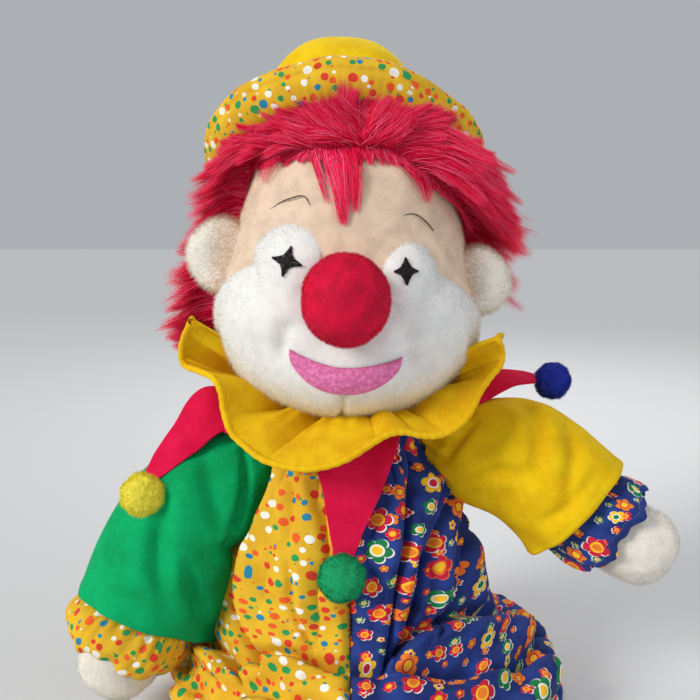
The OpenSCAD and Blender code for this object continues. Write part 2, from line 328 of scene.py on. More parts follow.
def fibres(name, p, n, length, width, flow, mats, slot, body, rng, spread=0.45, soft=0.93, stand=0.55,
           shade=None):
    """Short pile: one thin leaning blade per point, its face outwards, lit mostly like the cloth under it."""
    count = len(p)
    d = unit(n * stand + flow + spread * rng.standard_normal((count, 3)))
    d = unit(d + n * np.maximum(0.15 - (d * n).sum(1, keepdims=True), 0))
    side = unit(np.cross(d, n) + 0.1 * rng.standard_normal((count, 3)))
    ln = (length * (0.6 + 0.6 * rng.random(count)))[:, None]
    w = width * 0.5
    root = p - n * 0.4  # a little inside the cloth
    verts = np.stack([root - side * w, root + side * w, p + d * ln], 1).reshape(-1, 3)
    faces = np.arange(count * 3).reshape(-1, 3)
    lit = np.repeat(unit(n * soft + (1 - soft) * rng.standard_normal((count, 3))), 3, 0)
    if shade is None:
        shade = rng.integers(0, len(mats), count)
    o = build(name, verts, faces, normals=lit, shade=shade)
    o.visible_shadow = False
    o.visible_diffuse = False
    return give(o, mats, slot, body)


def strands(name, lines, outs, width, rng):
    """Long red pile: a tapered ribbon per centreline (n, k, 3), its normals turned as on a round strand."""
    taper, rounded = 0.15, 0.8
    n, k = lines.shape[:2]
    tangent = unit(np.gradient(lines, axis=1))
    side = unit(np.cross(tangent, outs))
    out = unit(np.cross(side, tangent))
    t = np.linspace(0, 1, k)
    w = (width * 0.5 * (1 - (1 - taper) * t**1.6))[None, :, None]
    w = w * (0.7 + 0.6 * rng.random((n, 1, 1)))
    verts = np.stack([lines - side * w, lines + side * w], 2).reshape(-1, 3)
    lit = np.stack([out - side * rounded, out + side * rounded], 2).reshape(-1, 3)
    base = (np.arange(n) * k * 2)[:, None, None] + (np.arange(k - 1) * 2)[None, :, None]
    faces = (base + np.array([0, 1, 3, 2])).reshape(-1, 4)
    shade = np.repeat(rng.integers(0, len(HAIR_PILE), n), k - 1)
    return give(build(name, verts, faces, normals=lit, shade=shade), HAIR_PILE, "red_fur", "head")


def tube_mesh(name, lines, radius, sides=6):
    """Round threads along centrelines, joined into one mesh; radius is one number or one per point."""
    verts, faces, at = [], [], 0
    a = circle(sides)
    for line in lines:
        k = len(line)
        tangent = unit(np.gradient(line, axis=0))
        s1 = unit(np.cross(tangent, (0.3, 0.5, 0.81)))
        s2 = np.cross(tangent, s1)
        rad = np.broadcast_to(radius, (k,))[:, None, None]
        ring = line[:, None] + rad * (s1[:, None] * np.cos(a)[:, None] + s2[:, None] * np.sin(a)[:, None])
        verts.append(ring.reshape(-1, 3))
        faces.append(sheet_faces(k, sides, True) + at)
        at += k * sides
    return build(name, np.concatenate(verts), np.concatenate(faces))


def dash(a, b, up, sink, rise):
    """The line of one stitch from a to b: its ends sunk into the cloth, its middle risen."""
    return np.stack([a - up * sink, (a + b) / 2 + up * rise, b - up * sink])


# ---- materials
class Nodes:
    """A small writer of node materials."""

    def __init__(self, name):
        self.mat = bpy.data.materials.new(name)
        self.mat.use_nodes = True
        self.tree = self.mat.node_tree
        self.bsdf = self.tree.nodes["Principled BSDF"]

    def put(self, socket, value):
        if isinstance(value, bpy.types.NodeSocket):
            self.tree.links.new(value, socket)
        elif value is not None:
            if socket.type == "RGBA" and len(value) == 3:
                value = (*value, 1)
            socket.default_value = value

    def node(self, kind, settings=(), **inputs):
        n = self.tree.nodes.new(kind)
        for k, v in dict(settings).items():
            setattr(n, k, v)
        for k, v in inputs.items():
            key = int(k[1:]) if k[0] == "i" and k[1:].isdigit() else k.replace("_", " ")
            self.put(n.inputs[key], v)
        return n

    def math(self, op, a, b=None, c=None):
        return self.node("ShaderNodeMath", {"operation": op}, i0=a, i1=b, i2=c).outputs[0]

    def vector(self, op, a, b=None, **more):
        return self.node("ShaderNodeVectorMath", {"operation": op}, i0=a, i1=b, **more).outputs[0]

    def length(self, a):
        return self.node("ShaderNodeVectorMath", {"operation": "LENGTH"}, i0=a).outputs["Value"]

    def mix(self, f, a, b):
        return self.node("ShaderNodeMix", {"data_type": "RGBA"}, i0=f, i6=a, i7=b).outputs[2]

    def place(self):
        return self.node("ShaderNodeTexCoord").outputs["Object"]

    def uv(self):
        return self.node("ShaderNodeUVMap", {"uv_map": "cloth"}).outputs[0]

    def noise(self, vector, size, detail=3.0, rough=0.6, stretch=None):
        if stretch:
            vector = self.node("ShaderNodeMapping", Vector=vector, Scale=stretch).outputs[0]
        return self.node("ShaderNodeTexNoise", Vector=vector, Scale=1 / size, Detail=detail,
                         Roughness=rough).outputs["Fac"]

    def band(self, value, low, high):
        """0 at low, 1 at high and smooth between; value falls when high is below low."""
        return self.node("ShaderNodeMapRange", {"interpolation_type": "SMOOTHSTEP"}, Value=value, i1=low,
                         i2=high).outputs[0]

    def finish(self, colour, rough, height=None, depth=0.0003, strength=0.5, sheen=0.0,
               sheen_tint=(1, 1, 1), specular=0.3):
        self.put(self.bsdf.inputs["Base Color"], colour)
        self.put(self.bsdf.inputs["Roughness"], rough)
        self.put(self.bsdf.inputs["Sheen Weight"], sheen)
        self.put(self.bsdf.inputs["Sheen Roughness"], 0.4)
        self.put(self.bsdf.inputs["Sheen Tint"], sheen_tint)
        self.put(self.bsdf.inputs["Specular IOR Level"], specular)
        if height is not None:
            b = self.node("ShaderNodeBump", Strength=strength, Distance=depth, Height=height)
            self.put(self.bsdf.inputs["Normal"], b.outputs[0])
        return self.mat


def srgb(r, g, b):
    """Linear colour from screen values of 0 to 255."""
    c = np.array([r, g, b], float) / 255
    return tuple(float(x) for x in np.where(c < 0.04045, c / 12.92, ((c + 0.055) / 1.055) ** 2.4))


def tone(colour, by):
    return tuple(min(1.0, c * by) for c in colour)


def plush(name, colour, shade, sheen=0.12):
    """Skin under short pile: mottled at random, with painted shade in the hollows of its fine nap."""
    m = Nodes(name)
    at = m.place()
    patchy = m.noise(at, 0.011, 2.0, 0.5)
    fine = m.noise(at, 0.0011, 3.0, 0.7)
    c = m.mix(m.band(patchy, 0.3, 0.7), shade, colour)
    # painted shade: the colour darkens towards shade where the fine nap's bump is lowest
    c = m.mix(m.math("MULTIPLY", m.band(fine, 0.55, 0.3), 0.45), c, shade)
    return m.finish(c, m.math("MULTIPLY_ADD", fine, 0.2, 0.75), fine, 0.0012, 0.6, sheen, colour)


def fleece(name, colour, shade, glow, rib=False):
    """Brushed knit: fuzz, faint mottling, raised flecks of fluff lightened with painted sheen, and on the
    collar a fine slanted rib with painted shade in its grooves.
    """
    m = Nodes(name)
    at = m.place()
    fuzz = m.noise(at, 0.0009, 4.0, 0.75)
    patch = m.noise(at, 0.018, 3.0, 0.55)
    lint_and_sheen = m.noise(at, 0.0028, 2.0, 0.6)
    c = m.mix(m.band(patch, 0.32, 0.68), shade, colour)
    # painted sheen: the flecks that stand highest in the bump are lightened towards the glow colour
    c = m.mix(m.math("MULTIPLY", m.band(lint_and_sheen, 0.5, 0.75), 0.3), c, glow)
    height = m.math("ADD", fuzz, m.math("MULTIPLY", lint_and_sheen, 0.8))
    if rib:
        wave = m.node("ShaderNodeTexWave", {"bands_direction": "DIAGONAL"},
                      Vector=m.uv(), Scale=420.0, Distortion=1.2, Detail=1.0).outputs["Fac"]
        height = m.math("ADD", height, m.math("MULTIPLY", wave, 0.9))
        # painted shade: the rib's grooves, where the wave is low, are darkened towards shade
        c = m.mix(m.math("MULTIPLY", m.math("SUBTRACT", 1.0, wave), 0.28), c, shade)
    rough = m.math("MULTIPLY_ADD", fuzz, 0.15, 0.78)
    return m.finish(c, rough, height, 0.0006, 0.5, 0.06, glow, specular=0.15)


def felt(name, colour, shade, glow):
    """Pressed felt: short fibres lying two ways, lightened with painted sheen where they stand highest, and
    faint mottling.
    """
    m = Nodes(name)
    at = m.place()
    f1 = m.noise(at, 0.0016, 4.0, 0.7, (1, 1, 0.35))
    f2 = m.noise(at, 0.0016, 4.0, 0.7, (0.35, 1, 1))
    f = m.math("MAXIMUM", f1, f2)
    patch = m.noise(at, 0.02, 2.0, 0.5)
    c = m.mix(m.band(patch, 0.3, 0.7), shade, colour)
    # painted sheen: the fibres that stand highest in the bump are lightened towards the glow colour
    c = m.mix(m.math("MULTIPLY", m.band(f, 0.58, 0.75), 0.4), c, glow)
    return m.finish(c, 0.9, f, 0.0005, 0.6, 0.12, glow, specular=0.15)


def weave(m, uv):
    """Height of a plain weave with uneven yarns, and the cloth's own soft creasing."""
    warp, weft = (m.node("ShaderNodeTexWave", {"bands_direction": way}, Vector=uv, Scale=620.0,
                         Distortion=0.6, Detail=1.0).outputs["Fac"] for way in "XY")
    slub = m.noise(uv, 0.0025, 3.0, 0.6)
    crease = m.noise(uv, 0.012, 4.0, 0.62)
    yarn = m.math("MULTIPLY", m.math("ADD", warp, weft), 0.22)
    return m.math("ADD", m.math("ADD", yarn, m.math("MULTIPLY", slub, 0.5)), m.math("MULTIPLY", crease, 3.0))


def local_cell(m, uv, scale, jitter):
    """Nearest motif: the vector from its centre in metres, three random numbers, and room round it."""
    cell, room = (m.node("ShaderNodeTexVoronoi", {"voronoi_dimensions": "2D", "feature": feature}, Vector=uv,
                         Scale=scale, Randomness=jitter).outputs for feature in ("F1", "N_SPHERE_RADIUS"))
    rand = m.node("ShaderNodeSeparateColor", Color=cell["Color"]).outputs
    flat = m.vector("MULTIPLY", m.vector("SUBTRACT", uv, cell["Position"]), (1, 1, 0))
    return flat, rand, m.math("DIVIDE", room["Radius"], scale)


def spot_size(m, rand, low, high, room, share):
    """A random radius between low and high that stays inside its share of the room."""
    return m.math("MINIMUM", m.math("MULTIPLY_ADD", rand, high - low, low), m.math("MULTIPLY", room, share))


def cotton(m, uv, colour, fleck_colour):
    """Woven cotton in colour, faintly and unevenly mixed with another colour."""
    c = m.mix(m.math("MULTIPLY", m.noise(uv, 0.0011, 2.0), 0.05), colour, fleck_colour)
    rough = m.math("MULTIPLY_ADD", m.noise(uv, 0.004), 0.2, 0.7)
    return m.finish(c, rough, weave(m, uv), 0.00035, 0.5, 0.03, specular=0.15)


def palette(m, value, colours):
    """Pick a colour by a random value: colours holds (lowest value, colour) pairs."""
    ramp = m.node("ShaderNodeValToRGB", i0=value)
    ramp.color_ramp.interpolation = "CONSTANT"
    e = ramp.color_ramp.elements
    while len(e) < len(colours):
        e.new(0.5)
    for k, (at, c) in enumerate(colours):
        e[k].position = at
        e[k].color = (*c, 1)
    return ramp.outputs[0]


def dotted(name, ground, deep):
    """Cotton with scattered round dots of mixed size and colour."""
    m = Nodes(name)
    uv = m.uv()
    wobble = m.node("ShaderNodeTexNoise", Vector=uv, Scale=180.0, Detail=1.0).outputs["Color"]
    wobble = m.vector("SCALE", m.vector("SUBTRACT", wobble, (0.5, 0.5, 0.5)), Scale=0.0010)
    at = m.vector("ADD", uv, wobble)
    c = m.mix(m.band(m.noise(uv, 0.02, 2.0), 0.3, 0.7), deep, ground)
    orange, red, green = (0.88, 0.11, 0.008), (0.76, 0.035, 0.012), (0.008, 0.33, 0.085)
    blue, white = (0.003, 0.24, 0.42), (0.95, 0.94, 0.86)
    small = [(0.0, orange), (0.22, green), (0.55, white), (0.72, red), (0.85, blue)]
    large = [(0.0, orange), (0.22, white), (0.46, red), (0.6, green), (0.84, blue)]
    for scale, low, high, colours in ((165.0, -0.0006, 0.0013, small), (136.0, 0.0014, 0.0031, large)):
        v, rand, room = local_cell(m, at, scale, 0.8)
        d = m.math("SUBTRACT", spot_size(m, rand[0], low, high, room, 0.94), m.length(v))
        c = m.mix(m.band(d, 0.0, 0.00025), c, palette(m, rand[1], colours))
    return cotton(m, uv, c, (0.9, 0.85, 0.7))


def flowered(name, ground, deep):
    """Cotton with five-petalled flowers of mixed size, each with a rimmed centre."""
    m = Nodes(name)
    uv = m.uv()
    orange, yellow = (0.92, 0.22, 0.01), (1.0, 0.56, 0.01)
    red, green, white = (0.66, 0.006, 0.04), (0.0, 0.20, 0.05), (0.9, 0.88, 0.8)
    c = m.mix(m.band(m.noise(uv, 0.02, 2.0), 0.3, 0.7), deep, ground)
    edges = [(0.0, deep), (0.33, white), (0.9, orange)]
    petals = [(0.0, orange), (0.2, yellow), (0.36, red), (0.66, green), (0.9, red)]
    rings = [(0.0, red), (0.2, white), (0.36, yellow), (0.66, white), (0.9, orange)]
    middles = [(0.0, yellow), (0.2, red), (0.28, green), (0.36, orange), (0.66, yellow)]
    for scale, low, high, offset in ((76.0, 0.0018, 0.0038, (0.031, 0.017, 0)),
                                     (54.0, 0.0042, 0.0076, (0, 0, 0))):
        v, rand, room = local_cell(m, m.vector("ADD", uv, offset), scale, 0.5)
        r = spot_size(m, rand[0], low, high, room, 0.97)
        turn = m.math("MULTIPLY", rand[2], 6.283)

        def bloom(vec, grow, turn=turn, r=r):
            """Depth inside the five-lobed outline, grown by a factor."""
            x = m.node("ShaderNodeSeparateXYZ", Vector=vec).outputs
            ang = m.math("ADD", m.math("ARCTAN2", x[1], x[0]), turn)
            lobe = m.math("POWER", m.math("ABSOLUTE", m.math("COSINE", m.math("MULTIPLY", ang, 2.5))), 0.55)
            edge = m.math("MULTIPLY", r, m.math("MULTIPLY_ADD", lobe, 0.42, 0.58))
            return m.math("SUBTRACT", m.math("MULTIPLY", edge, grow), m.length(vec))

        shift = m.vector("SUBTRACT", v, (0.0004, -0.0003, 0))
        c = m.mix(m.band(bloom(shift, 1.03), -0.0001, 0.00015), c, palette(m, rand[1], edges))
        c = m.mix(m.band(bloom(v, 1.0), 0.0, 0.0002), c, palette(m, rand[1], petals))
        for share, colours in ((0.52, rings), (0.38, middles)):
            near = m.math("SUBTRACT", m.math("MULTIPLY", r, share), m.length(v))
            c = m.mix(m.band(near, 0.0, 0.0002), c, palette(m, rand[1], colours))
    return cotton(m, uv, c, (0.45, 0.5, 0.7))


def thread(name, colour, glow, size=0.0012):
    """Thread, elastic or fine felt: one streaky tone, with painted shade in its low streaks and painted sheen
    on its raised ones.
    """
    m = Nodes(name)
    at = m.place()
    f = m.noise(at, size, 3.0, 0.65)
    # painted shade and sheen: darker where the streaks lie low in the bump, towards glow where they stand
    # high
    c = m.mix(m.band(f, 0.35, 0.7), tone(colour, 0.7), glow)
    return m.finish(c, 0.8, f, 0.0002, 0.5, 0.0, glow, specular=0.15)


def blades(name, colour, rough=0.8, sheen=0.1, specular=0.15):
    """Finish of single fibres, one shade a material; the shades are mixed over a piece's fibres."""
    return Nodes(name).finish(colour, rough, sheen=sheen, sheen_tint=colour, specular=specular)


def pile(name, colour, factors):
    """The shades of one pile."""
    return [blades(f"{name}_pile_{k}", tone(colour, f)) for k, f in enumerate(factors)]


FLESH = (0.92, 0.70, 0.52)
WHITE = (0.96, 0.95, 0.92)
CREAM = (0.94, 0.88, 0.78)
NOSE = (0.80, 0.0, 0.045)
YELLOW = (0.96, 0.66, 0.008)
GREEN = (0.0, 0.42, 0.14)
RED = (0.80, 0.008, 0.075)

flesh_mat = plush("flesh_plush", FLESH, tone(FLESH, 0.8))
white_mat = plush("white_plush", WHITE, tone(WHITE, 0.86))
cream_mat = plush("cream_plush", CREAM, tone(CREAM, 0.8))
nose_mat = plush("red_plush", NOSE, tone(NOSE, 0.6))
pink_mat = thread("pink_felt", (0.94, 0.20, 0.47), (0.90, 0.27, 0.54), 0.0026)
scalp_mat = plush("red_backing", (0.6, 0.0, 0.03), (0.34, 0.0, 0.015))
yellow_mat = fleece("yellow_fleece", YELLOW, (0.86, 0.54, 0.004), (1.0, 0.76, 0.03))
collar_mat = fleece("collar_knit", (0.95, 0.62, 0.008), (0.8, 0.44, 0.004), (1.0, 0.72, 0.03), True)
sleeve_mat = fleece("sleeve_fleece", (0.86, 0.57, 0.004), (0.76, 0.46, 0.002), (0.95, 0.68, 0.02))
green_mat = fleece("green_fleece", GREEN, (0.0, 0.33, 0.10), (0.0, 0.55, 0.21))
red_mat = felt("red_felt", RED, (0.66, 0.003, 0.05), (0.9, 0.045, 0.15))
dot_mat = dotted("dotted_cotton", (0.86, 0.52, 0.012), (0.74, 0.41, 0.006))
flower_mat = flowered("flowered_cotton", (0.015, 0.05, 0.285), (0.006, 0.02, 0.15))
embroidery_mat = thread("embroidery", (0.006, 0.004, 0.005), (0.03, 0.022, 0.024), 0.0007)
brow_mat = thread("brow_thread", (0.05, 0.03, 0.025), (0.12, 0.08, 0.06), 0.0007)
stitch_mat = thread("yellow_thread", (0.9, 0.6, 0.12), (0.95, 0.75, 0.3), 0.0007)
elastic_mat = thread("elastic", srgb(232, 230, 224), srgb(250, 250, 246), 0.0009)
FLESH_PILE = pile("flesh", FLESH, (0.8, 1.0, 1.1))
# Tan for the ears' inner side: partly the cloth's own tone, partly painted shade where the ear dishes in
# beside the head
TAN_AND_SHADE_PILE = pile("tan", (0.66, 0.43, 0.29), (0.85, 1.0, 1.1))
WHITE_PILE = pile("white", WHITE, (0.95, 1.0, 1.05))
CREAM_PILE = pile("cream", CREAM, (0.92, 1.0, 1.1))
NOSE_PILE = [blades(f"nose_pile_{k}", c) for k, c in enumerate(
    ((0.70, 0.0, 0.035), (0.82, 0.0, 0.05), (0.92, 0.01, 0.08)))]
HAIR_PILE = [blades(f"hair_{k}", c, 0.6, 0.25, 0.2) for k, c in enumerate(
    ((0.72, 0.0, 0.03), (0.92, 0.002, 0.06), (1.0, 0.014, 0.11), (1.0, 0.11, 0.24)))]


# ---- head form, in the head's own millimetres
HEAD_C = np.array([-3.0, -18.0, 262.0])
HEAD_R = rot("y", 4) @ rot("x", -9)
HAT_C = HEAD_R @ np.array([-6.0, 0, 66.6]) + HEAD_C
HAT_R = HEAD_R @ rot("y", -4) @ rot("x", -25)
# The head's form turns a low arc, off its axis, and a high arc round that axis
LOW_X, LOW_Z, LOW_R, HIGH_Z, HIGH_R = 26.0, 1.0, 56.0, 70.0, 67.0
FLAT_COUNT, LOW_COUNT, HIGH_COUNT = 12, 60, 80
SIDE_SEAM = 14  # the local y of the seams behind the face
SPAN = math.hypot(LOW_X, LOW_Z - HIGH_Z)
TANGENT = math.acos((HIGH_R - LOW_R) / SPAN) - math.atan2(HIGH_Z - LOW_Z, LOW_X)


def in_head(p):
    """Points from the head's own frame to the row frame; head_own goes back."""
    return np.asarray(p, float) @ HEAD_R.T + HEAD_C


def head_own(p):
    return (p - HEAD_C) @ HEAD_R


def in_hat(p):
    return np.asarray(p, float) @ HAT_R.T + HAT_C


def head_line():
    """The head's half outline from chin to crown: r, z and outward normal, closely spaced."""
    flat = np.linspace(0, LOW_X, FLAT_COUNT, endpoint=False)
    a = np.linspace(-math.pi / 2, TANGENT, LOW_COUNT)
    b = np.linspace(TANGENT, math.pi / 2, HIGH_COUNT)
    r = np.concatenate([flat, LOW_X + LOW_R * np.cos(a), HIGH_R * np.cos(b)])
    z = np.concatenate([0 * flat + LOW_Z - LOW_R, LOW_Z + LOW_R * np.sin(a), HIGH_Z + HIGH_R * np.sin(b)])
    nr = np.concatenate([0 * flat, np.cos(a), np.cos(b)])
    nz = np.concatenate([0 * flat - 1, np.sin(a), np.sin(b)])
    s = np.concatenate([[0], np.cumsum(np.hypot(np.diff(r), np.diff(z)))])
    keep = np.concatenate([[True], np.diff(s) > 1e-6])
    return s[keep], r[keep], z[keep], nr[keep], nz[keep]


# Outline length, r, z and the normal's r and z along the head's outline
HS, HR, HZ, HNR, HNZ = head_line()


def cheek_seam(x, y):
    """Local height of the seam between forehead and muzzle: up round the eyes, down towards the ears."""
    q = np.degrees(np.abs(np.arctan2(x, -y)))
    return 27.1 + 0.105 * y + 9 * bell(q - 40, 12) - 8 * ease((q - 54) / 20)


def head_sculpt(p):
    """How far the stuffed head stands out or pulls in at local points on its form."""
    x, y, z = p[..., 0], p[..., 1], p[..., 2]
    front = ease(-y / 30)
    seam = z - cheek_seam(x, y)
    # cheeks and chin stand out
    d = 3.2 * front * bell(np.abs(x) - 46, 20) * bell(z + 4, 24)
    d = d + 1.6 * front * bell(x, 20) * bell(z + 34, 12)
    d = d + (4.2 * ease((x - 34) / 34) + 1.6 * ease((-x - 40) / 30)) * bell(z + 4, 26) * ease((20 - y) / 40)
    # dimples at the ends of the smile, and the fuller mouth and chin between them
    for cx, cz in ((-35.5, -19), (37, -20.5)):
        d = d - 3.4 * front * bell(np.hypot(x - cx, (z - cz) * 0.6), 4.5)
    d = d + 6.0 * bell(x, 46) * ease((-16 - z) / 26) * ease(-y / 22)
    # the cheek seam, the side seams and the chin's cleft pull in
    d = d - 1.3 * bell(seam, 2.4) * ease((SIDE_SEAM - y) / 10)
    d = d - 2.2 * bell(y - SIDE_SEAM, 2.4)
    d = d - 3.4 * front * bell(x - 1.5, 2.2) * ease((-33 - z) / 7)
    # and so does the cloth round the smile, the nose and the eye patches
    for cx, cz in ((-33, -9), (34, -9)):
        d = d - 3.2 * front * bell(np.hypot(x - cx, (z - cz) * 1.2), 6.5)
    d = d - 2.6 * front * bell(np.hypot(x, z - 10) - 25, 6)
    d = d - 1.4 * front * bell(np.hypot(np.abs(x) - 34, (z - 30) * 0.9) - 19, 4)
    return d + 0.9 * noise(p, 26, 5, 2)


def head_points(az, s, grow=0.0, sculpt=True):
    """Local points on the head at azimuth az (degrees) and outline length s."""
    az, s = np.broadcast_arrays(np.asarray(az, float), np.asarray(s, float))
    r, z = np.interp(s, HS, HR), np.interp(s, HS, HZ)
    nr, nz = np.interp(s, HS, HNR), np.interp(s, HS, HNZ)
    c, si = np.cos(np.radians(az)), np.sin(np.radians(az))
    p = pts(r * c, r * si, z)
    n = pts(nr * c, nr * si, nz)
    if sculpt:
        p = p + n * head_sculpt(p)[..., None]
    return p + n * np.asarray(grow, float)[..., None], n


def s_at(z):
    """Outline length at a local height."""
    return np.interp(z, HZ[FLAT_COUNT:], HS[FLAT_COUNT:])


def front_spot(x, z, grow=0.0, sculpt=True):
    """The local point and normal on the face at local x and z."""
    x, z = np.broadcast_arrays(np.asarray(x, float), np.asarray(z, float))
    s = s_at(z)
    r = np.interp(s, HS, HR)
    az = -np.degrees(np.arccos(np.clip(x / np.maximum(r, 1e-3), -1, 1)))
    return head_points(az, s, grow, sculpt)


FACE_EDGE = 0.3  # the forehead stops this far short of the top of the outline


def face_grid(lower, m=150, n=260):
    """Half the face in front of the side seams: below or above the cheek seam."""
    u = np.linspace(-1, 1, n)
    z = np.full(n, 10.0)
    for _ in range(30):
        r = np.interp(s_at(z), HS, HR)
        side = np.degrees(np.arcsin(np.clip(SIDE_SEAM / r, -1, 1)))
        az = -90 + u * (90 + side)
        z = cheek_seam(r * np.cos(np.radians(az)), r * np.sin(np.radians(az)))
    cut = s_at(z)
    v = np.linspace(0, 1, m)[:, None]
    s = v * cut if lower else cut + v * (HS[-1] - FACE_EDGE - cut)
    s = np.maximum(s, 0.5)
    r = np.interp(s, HS, HR)
    side = np.degrees(np.arcsin(SIDE_SEAM / np.maximum(r, SIDE_SEAM)))
    return head_points(-90 + u * (90 + side), s)[0]


def back_grid(m=180, n=170):
    """The head behind the side seams."""
    top = FLAT_COUNT + LOW_COUNT
    low = np.interp(SIDE_SEAM + 0.5, HR[:LOW_COUNT], HS[:LOW_COUNT])
    high = np.interp(-SIDE_SEAM - 0.5, -HR[top:], HS[top:])
    s = np.linspace(low, high, m)[:, None]
    side = np.degrees(np.arcsin(np.clip(SIDE_SEAM / np.interp(s, HS, HR), -1, 1)))
    return head_points(90 + np.linspace(-1, 1, n) * (90 - side), s)[0]


muzzle_P = in_head(face_grid(True))
forehead_P = in_head(face_grid(False))
back_P = in_head(back_grid())
head_mid = in_head((0, 0, 30))
give(surface("muzzle", muzzle_P), white_mat, "white_plush", "head", "muzzle_panel", "head_stuffing")
give(surface("forehead", forehead_P), flesh_mat, "flesh_plush", "head", "forehead_panel")
give(surface("head_back", back_P), scalp_mat, "red_fur", "head", "back_head_panel")

rng = np.random.default_rng(11)


def pile_flow(p, n, z):
    """The lie of the pile: a constant upward pull z laid along the surface, and a little disorder."""
    f = np.array([0.0, 0.0, z]) + 0.35 * noise3(p, 9, 3, 4, 6)
    return f - (f * n).sum(1, keepdims=True) * n


p, n = scatter(muzzle_P, 52000, rng, outward=head_mid)
fibres("muzzle_pile", p, n, 2.8, 0.3, pile_flow(p, n, -0.35), WHITE_PILE, "white_plush", "head", rng)
p, n = scatter(forehead_P, 30000, rng, outward=head_mid,
               keep=lambda q: head_own(q)[..., 2] < 108)
fibres("forehead_pile", p, n, 1.7, 0.28, pile_flow(p, n, -0.4), FLESH_PILE, "flesh_plush", "head", rng)


# ---- face
WORD = {-1: "right", 1: "left"}  # the puppet's own right and left
# Middle x and z, half width and half height
PATCH = {-1: (-37.5, 31.0, 19.0, 20.0), 1: (35.5, 27.0, 16.5, 18.0)}


def patch(side):
    """Padded white eye patch, a low pillow sewn to the head round its edge."""
    m, n = 26, 72
    cx, cz, pw, ph = PATCH[side]
    t = np.linspace(0, 1, m)[:, None]
    a = circle(n)
    w = pw * (1 + 0.05 * np.cos(3 * a + side))
    h = ph * (1 + 0.05 * np.sin(2 * a))
    x = cx + w * t * np.cos(a) * (1 - 0.06 * t * np.sin(a) * side)
    z = cz + h * t * np.sin(a)
    rise = 6.4 * (1 - t**2.2) ** 0.8 - 0.9 + 0 * a
    p, nrm = front_spot(x, z, 0, False)
    base = front_spot(np.full(1, cx), np.full(1, cz), 0, False)[1][0]
    d = unit(0.35 * nrm + 0.65 * base)
    return in_head(p + d * rise[..., None])


patch_P = {}
for side, word in WORD.items():
    P = patch(side)
    patch_P[side] = P
    give(surface(f"{word}_patch", P[::-1], wrap=True), white_mat, "white_plush", "head", f"{word}_eye_patch")
    p, n = scatter(P, 7500, rng, wrap=True, outward=head_mid)
    flow = pile_flow(p, n, -0.2)
    fibres(f"{word}_patch_pile", p, n, 3.2, 0.28, flow, WHITE_PILE, "white_plush", "head", rng)


def star(side, cx, cz, w, h, turn):
    """Embroidered four-pointed star: satin stitches laid across each arm, standing on the patch."""
    own = head_own(patch_P[side]).reshape(-1, 3)
    rows = []
    for k in range(4):
        a = math.radians(90 * k + turn)
        long = (w if k % 2 == 0 else h) / 2
        for t in np.linspace(0, 1, 30):
            half = 4.5 * (1 - t) ** 1.35 + 0.35
            at = np.array([math.cos(a), math.sin(a)]) * long * t
            across = np.array([-math.sin(a), math.cos(a)])
            rows.append((at - across * half, at + across * half))
    tubes = []
    for a, b in rows:
        q = np.linspace(0, 1, 6)[:, None]
        xz = lerp(a, b, q) + rng.normal(0, 0.08, (1, 2)) + np.array([cx, cz])
        near = ((own[None, :, ::2] - xz[:, None]) ** 2).sum(-1).argmin(1)
        hump = 1.1 * np.sin(math.pi * q[:, 0]) ** 0.5
        tubes.append(in_head(pts(xz[:, 0], own[near, 1] - 0.9 - hump, xz[:, 1])))
    return tubes


# Middle x and z, width, height and turn
STAR = {-1: (-36.0, 29.0, 17.5, 17.5, -12), 1: (32.5, 28.0, 13.5, 15.5, 6)}
for side, word in WORD.items():
    give(tube_mesh(f"{word}_star", star(side, *STAR[side]), 0.42), embroidery_mat, "embroidery", "head",
         f"{word}_eye_star")

BROW = {"right": [(-50, 61), (-43, 64.5), (-36, 66.5), (-29, 68), (-25, 63)],
        "left": [(27, 58), (30, 61.5), (36, 62.5), (42, 59), (48, 54.5)]}
for word, bend in BROW.items():
    line = spline(bend, np.linspace(0, 1, 44))
    bare = bell(np.linspace(0, 1, 44) - (0.55 if word == "right" else 0.72), 0.32)
    line = in_head(front_spot(line[:, 0], line[:, 1], -0.3 + 2.1 * bare)[0])
    radius = 0.2 + 0.2 * bare + 0.05 * np.sin(np.linspace(0, 60, 44))
    give(tube_mesh(f"{word}_brow_thread", [line], radius, 8), brow_mat, "embroidery", "head", f"{word}_brow")


def nose_grid(m=60, n=96):
    """The nose ball, open where it is sewn to the face."""
    t = np.linspace(0.0005, 1, m)[:, None] * math.pi * 0.86
    a = circle(n)
    r = 25.0 * (1 - 0.03 * np.cos(2 * a) * np.sin(t))
    p = pts(r * np.sin(t) * np.cos(a), -r * np.cos(t) * 0.97, r * np.sin(t) * np.sin(a))
    p = p + unit(p) * (0.7 * noise(p, 13, 9, 2))[..., None]
    return in_head(p + np.array([-1.2, -96, 8.5]))


nose_P = nose_grid()
give(surface("nose_ball", nose_P[::-1], wrap=True), nose_mat, "red_plush", "head", "nose")
p, n = scatter(nose_P, 26000, rng, wrap=True, outward=in_head((0, -96, 10)))
fibres("nose_pile", p, n, 1.8, 0.3, pile_flow(p, n, -0.2), NOSE_PILE, "red_plush", "head", rng, stand=0.8)


def mouth_grid(m=22, n=110):
    """Felt crescent between two arcs, its rim turned down."""
    half = 32.2
    x = np.linspace(-half, half, n)
    upper = 50 - np.sqrt(77.5**2 - x**2)
    lower = upper - 12.3 * (1 - np.abs(x / half) ** 3) ** 0.5
    t = np.linspace(0, 1, m)[:, None]
    z = lerp(upper, lower, t)
    rim = np.minimum(np.sin(math.pi * t) * 4, 1) * np.minimum((half - np.abs(x)) / 3, 1)
    puff = 1.3 * np.sin(math.pi * t) * (1 - (x / half) ** 2)
    p, nrm = front_spot(1 + x, z, 0, False)
    push = head_sculpt(p) * 0.85 + 3.4 * 0.85 * ease((-33 - z) / 7) * bell(x - 0.5, 2.2)
    return in_head(p + nrm * push[..., None]), 0.8 + 1.9 * rim**0.5 + puff


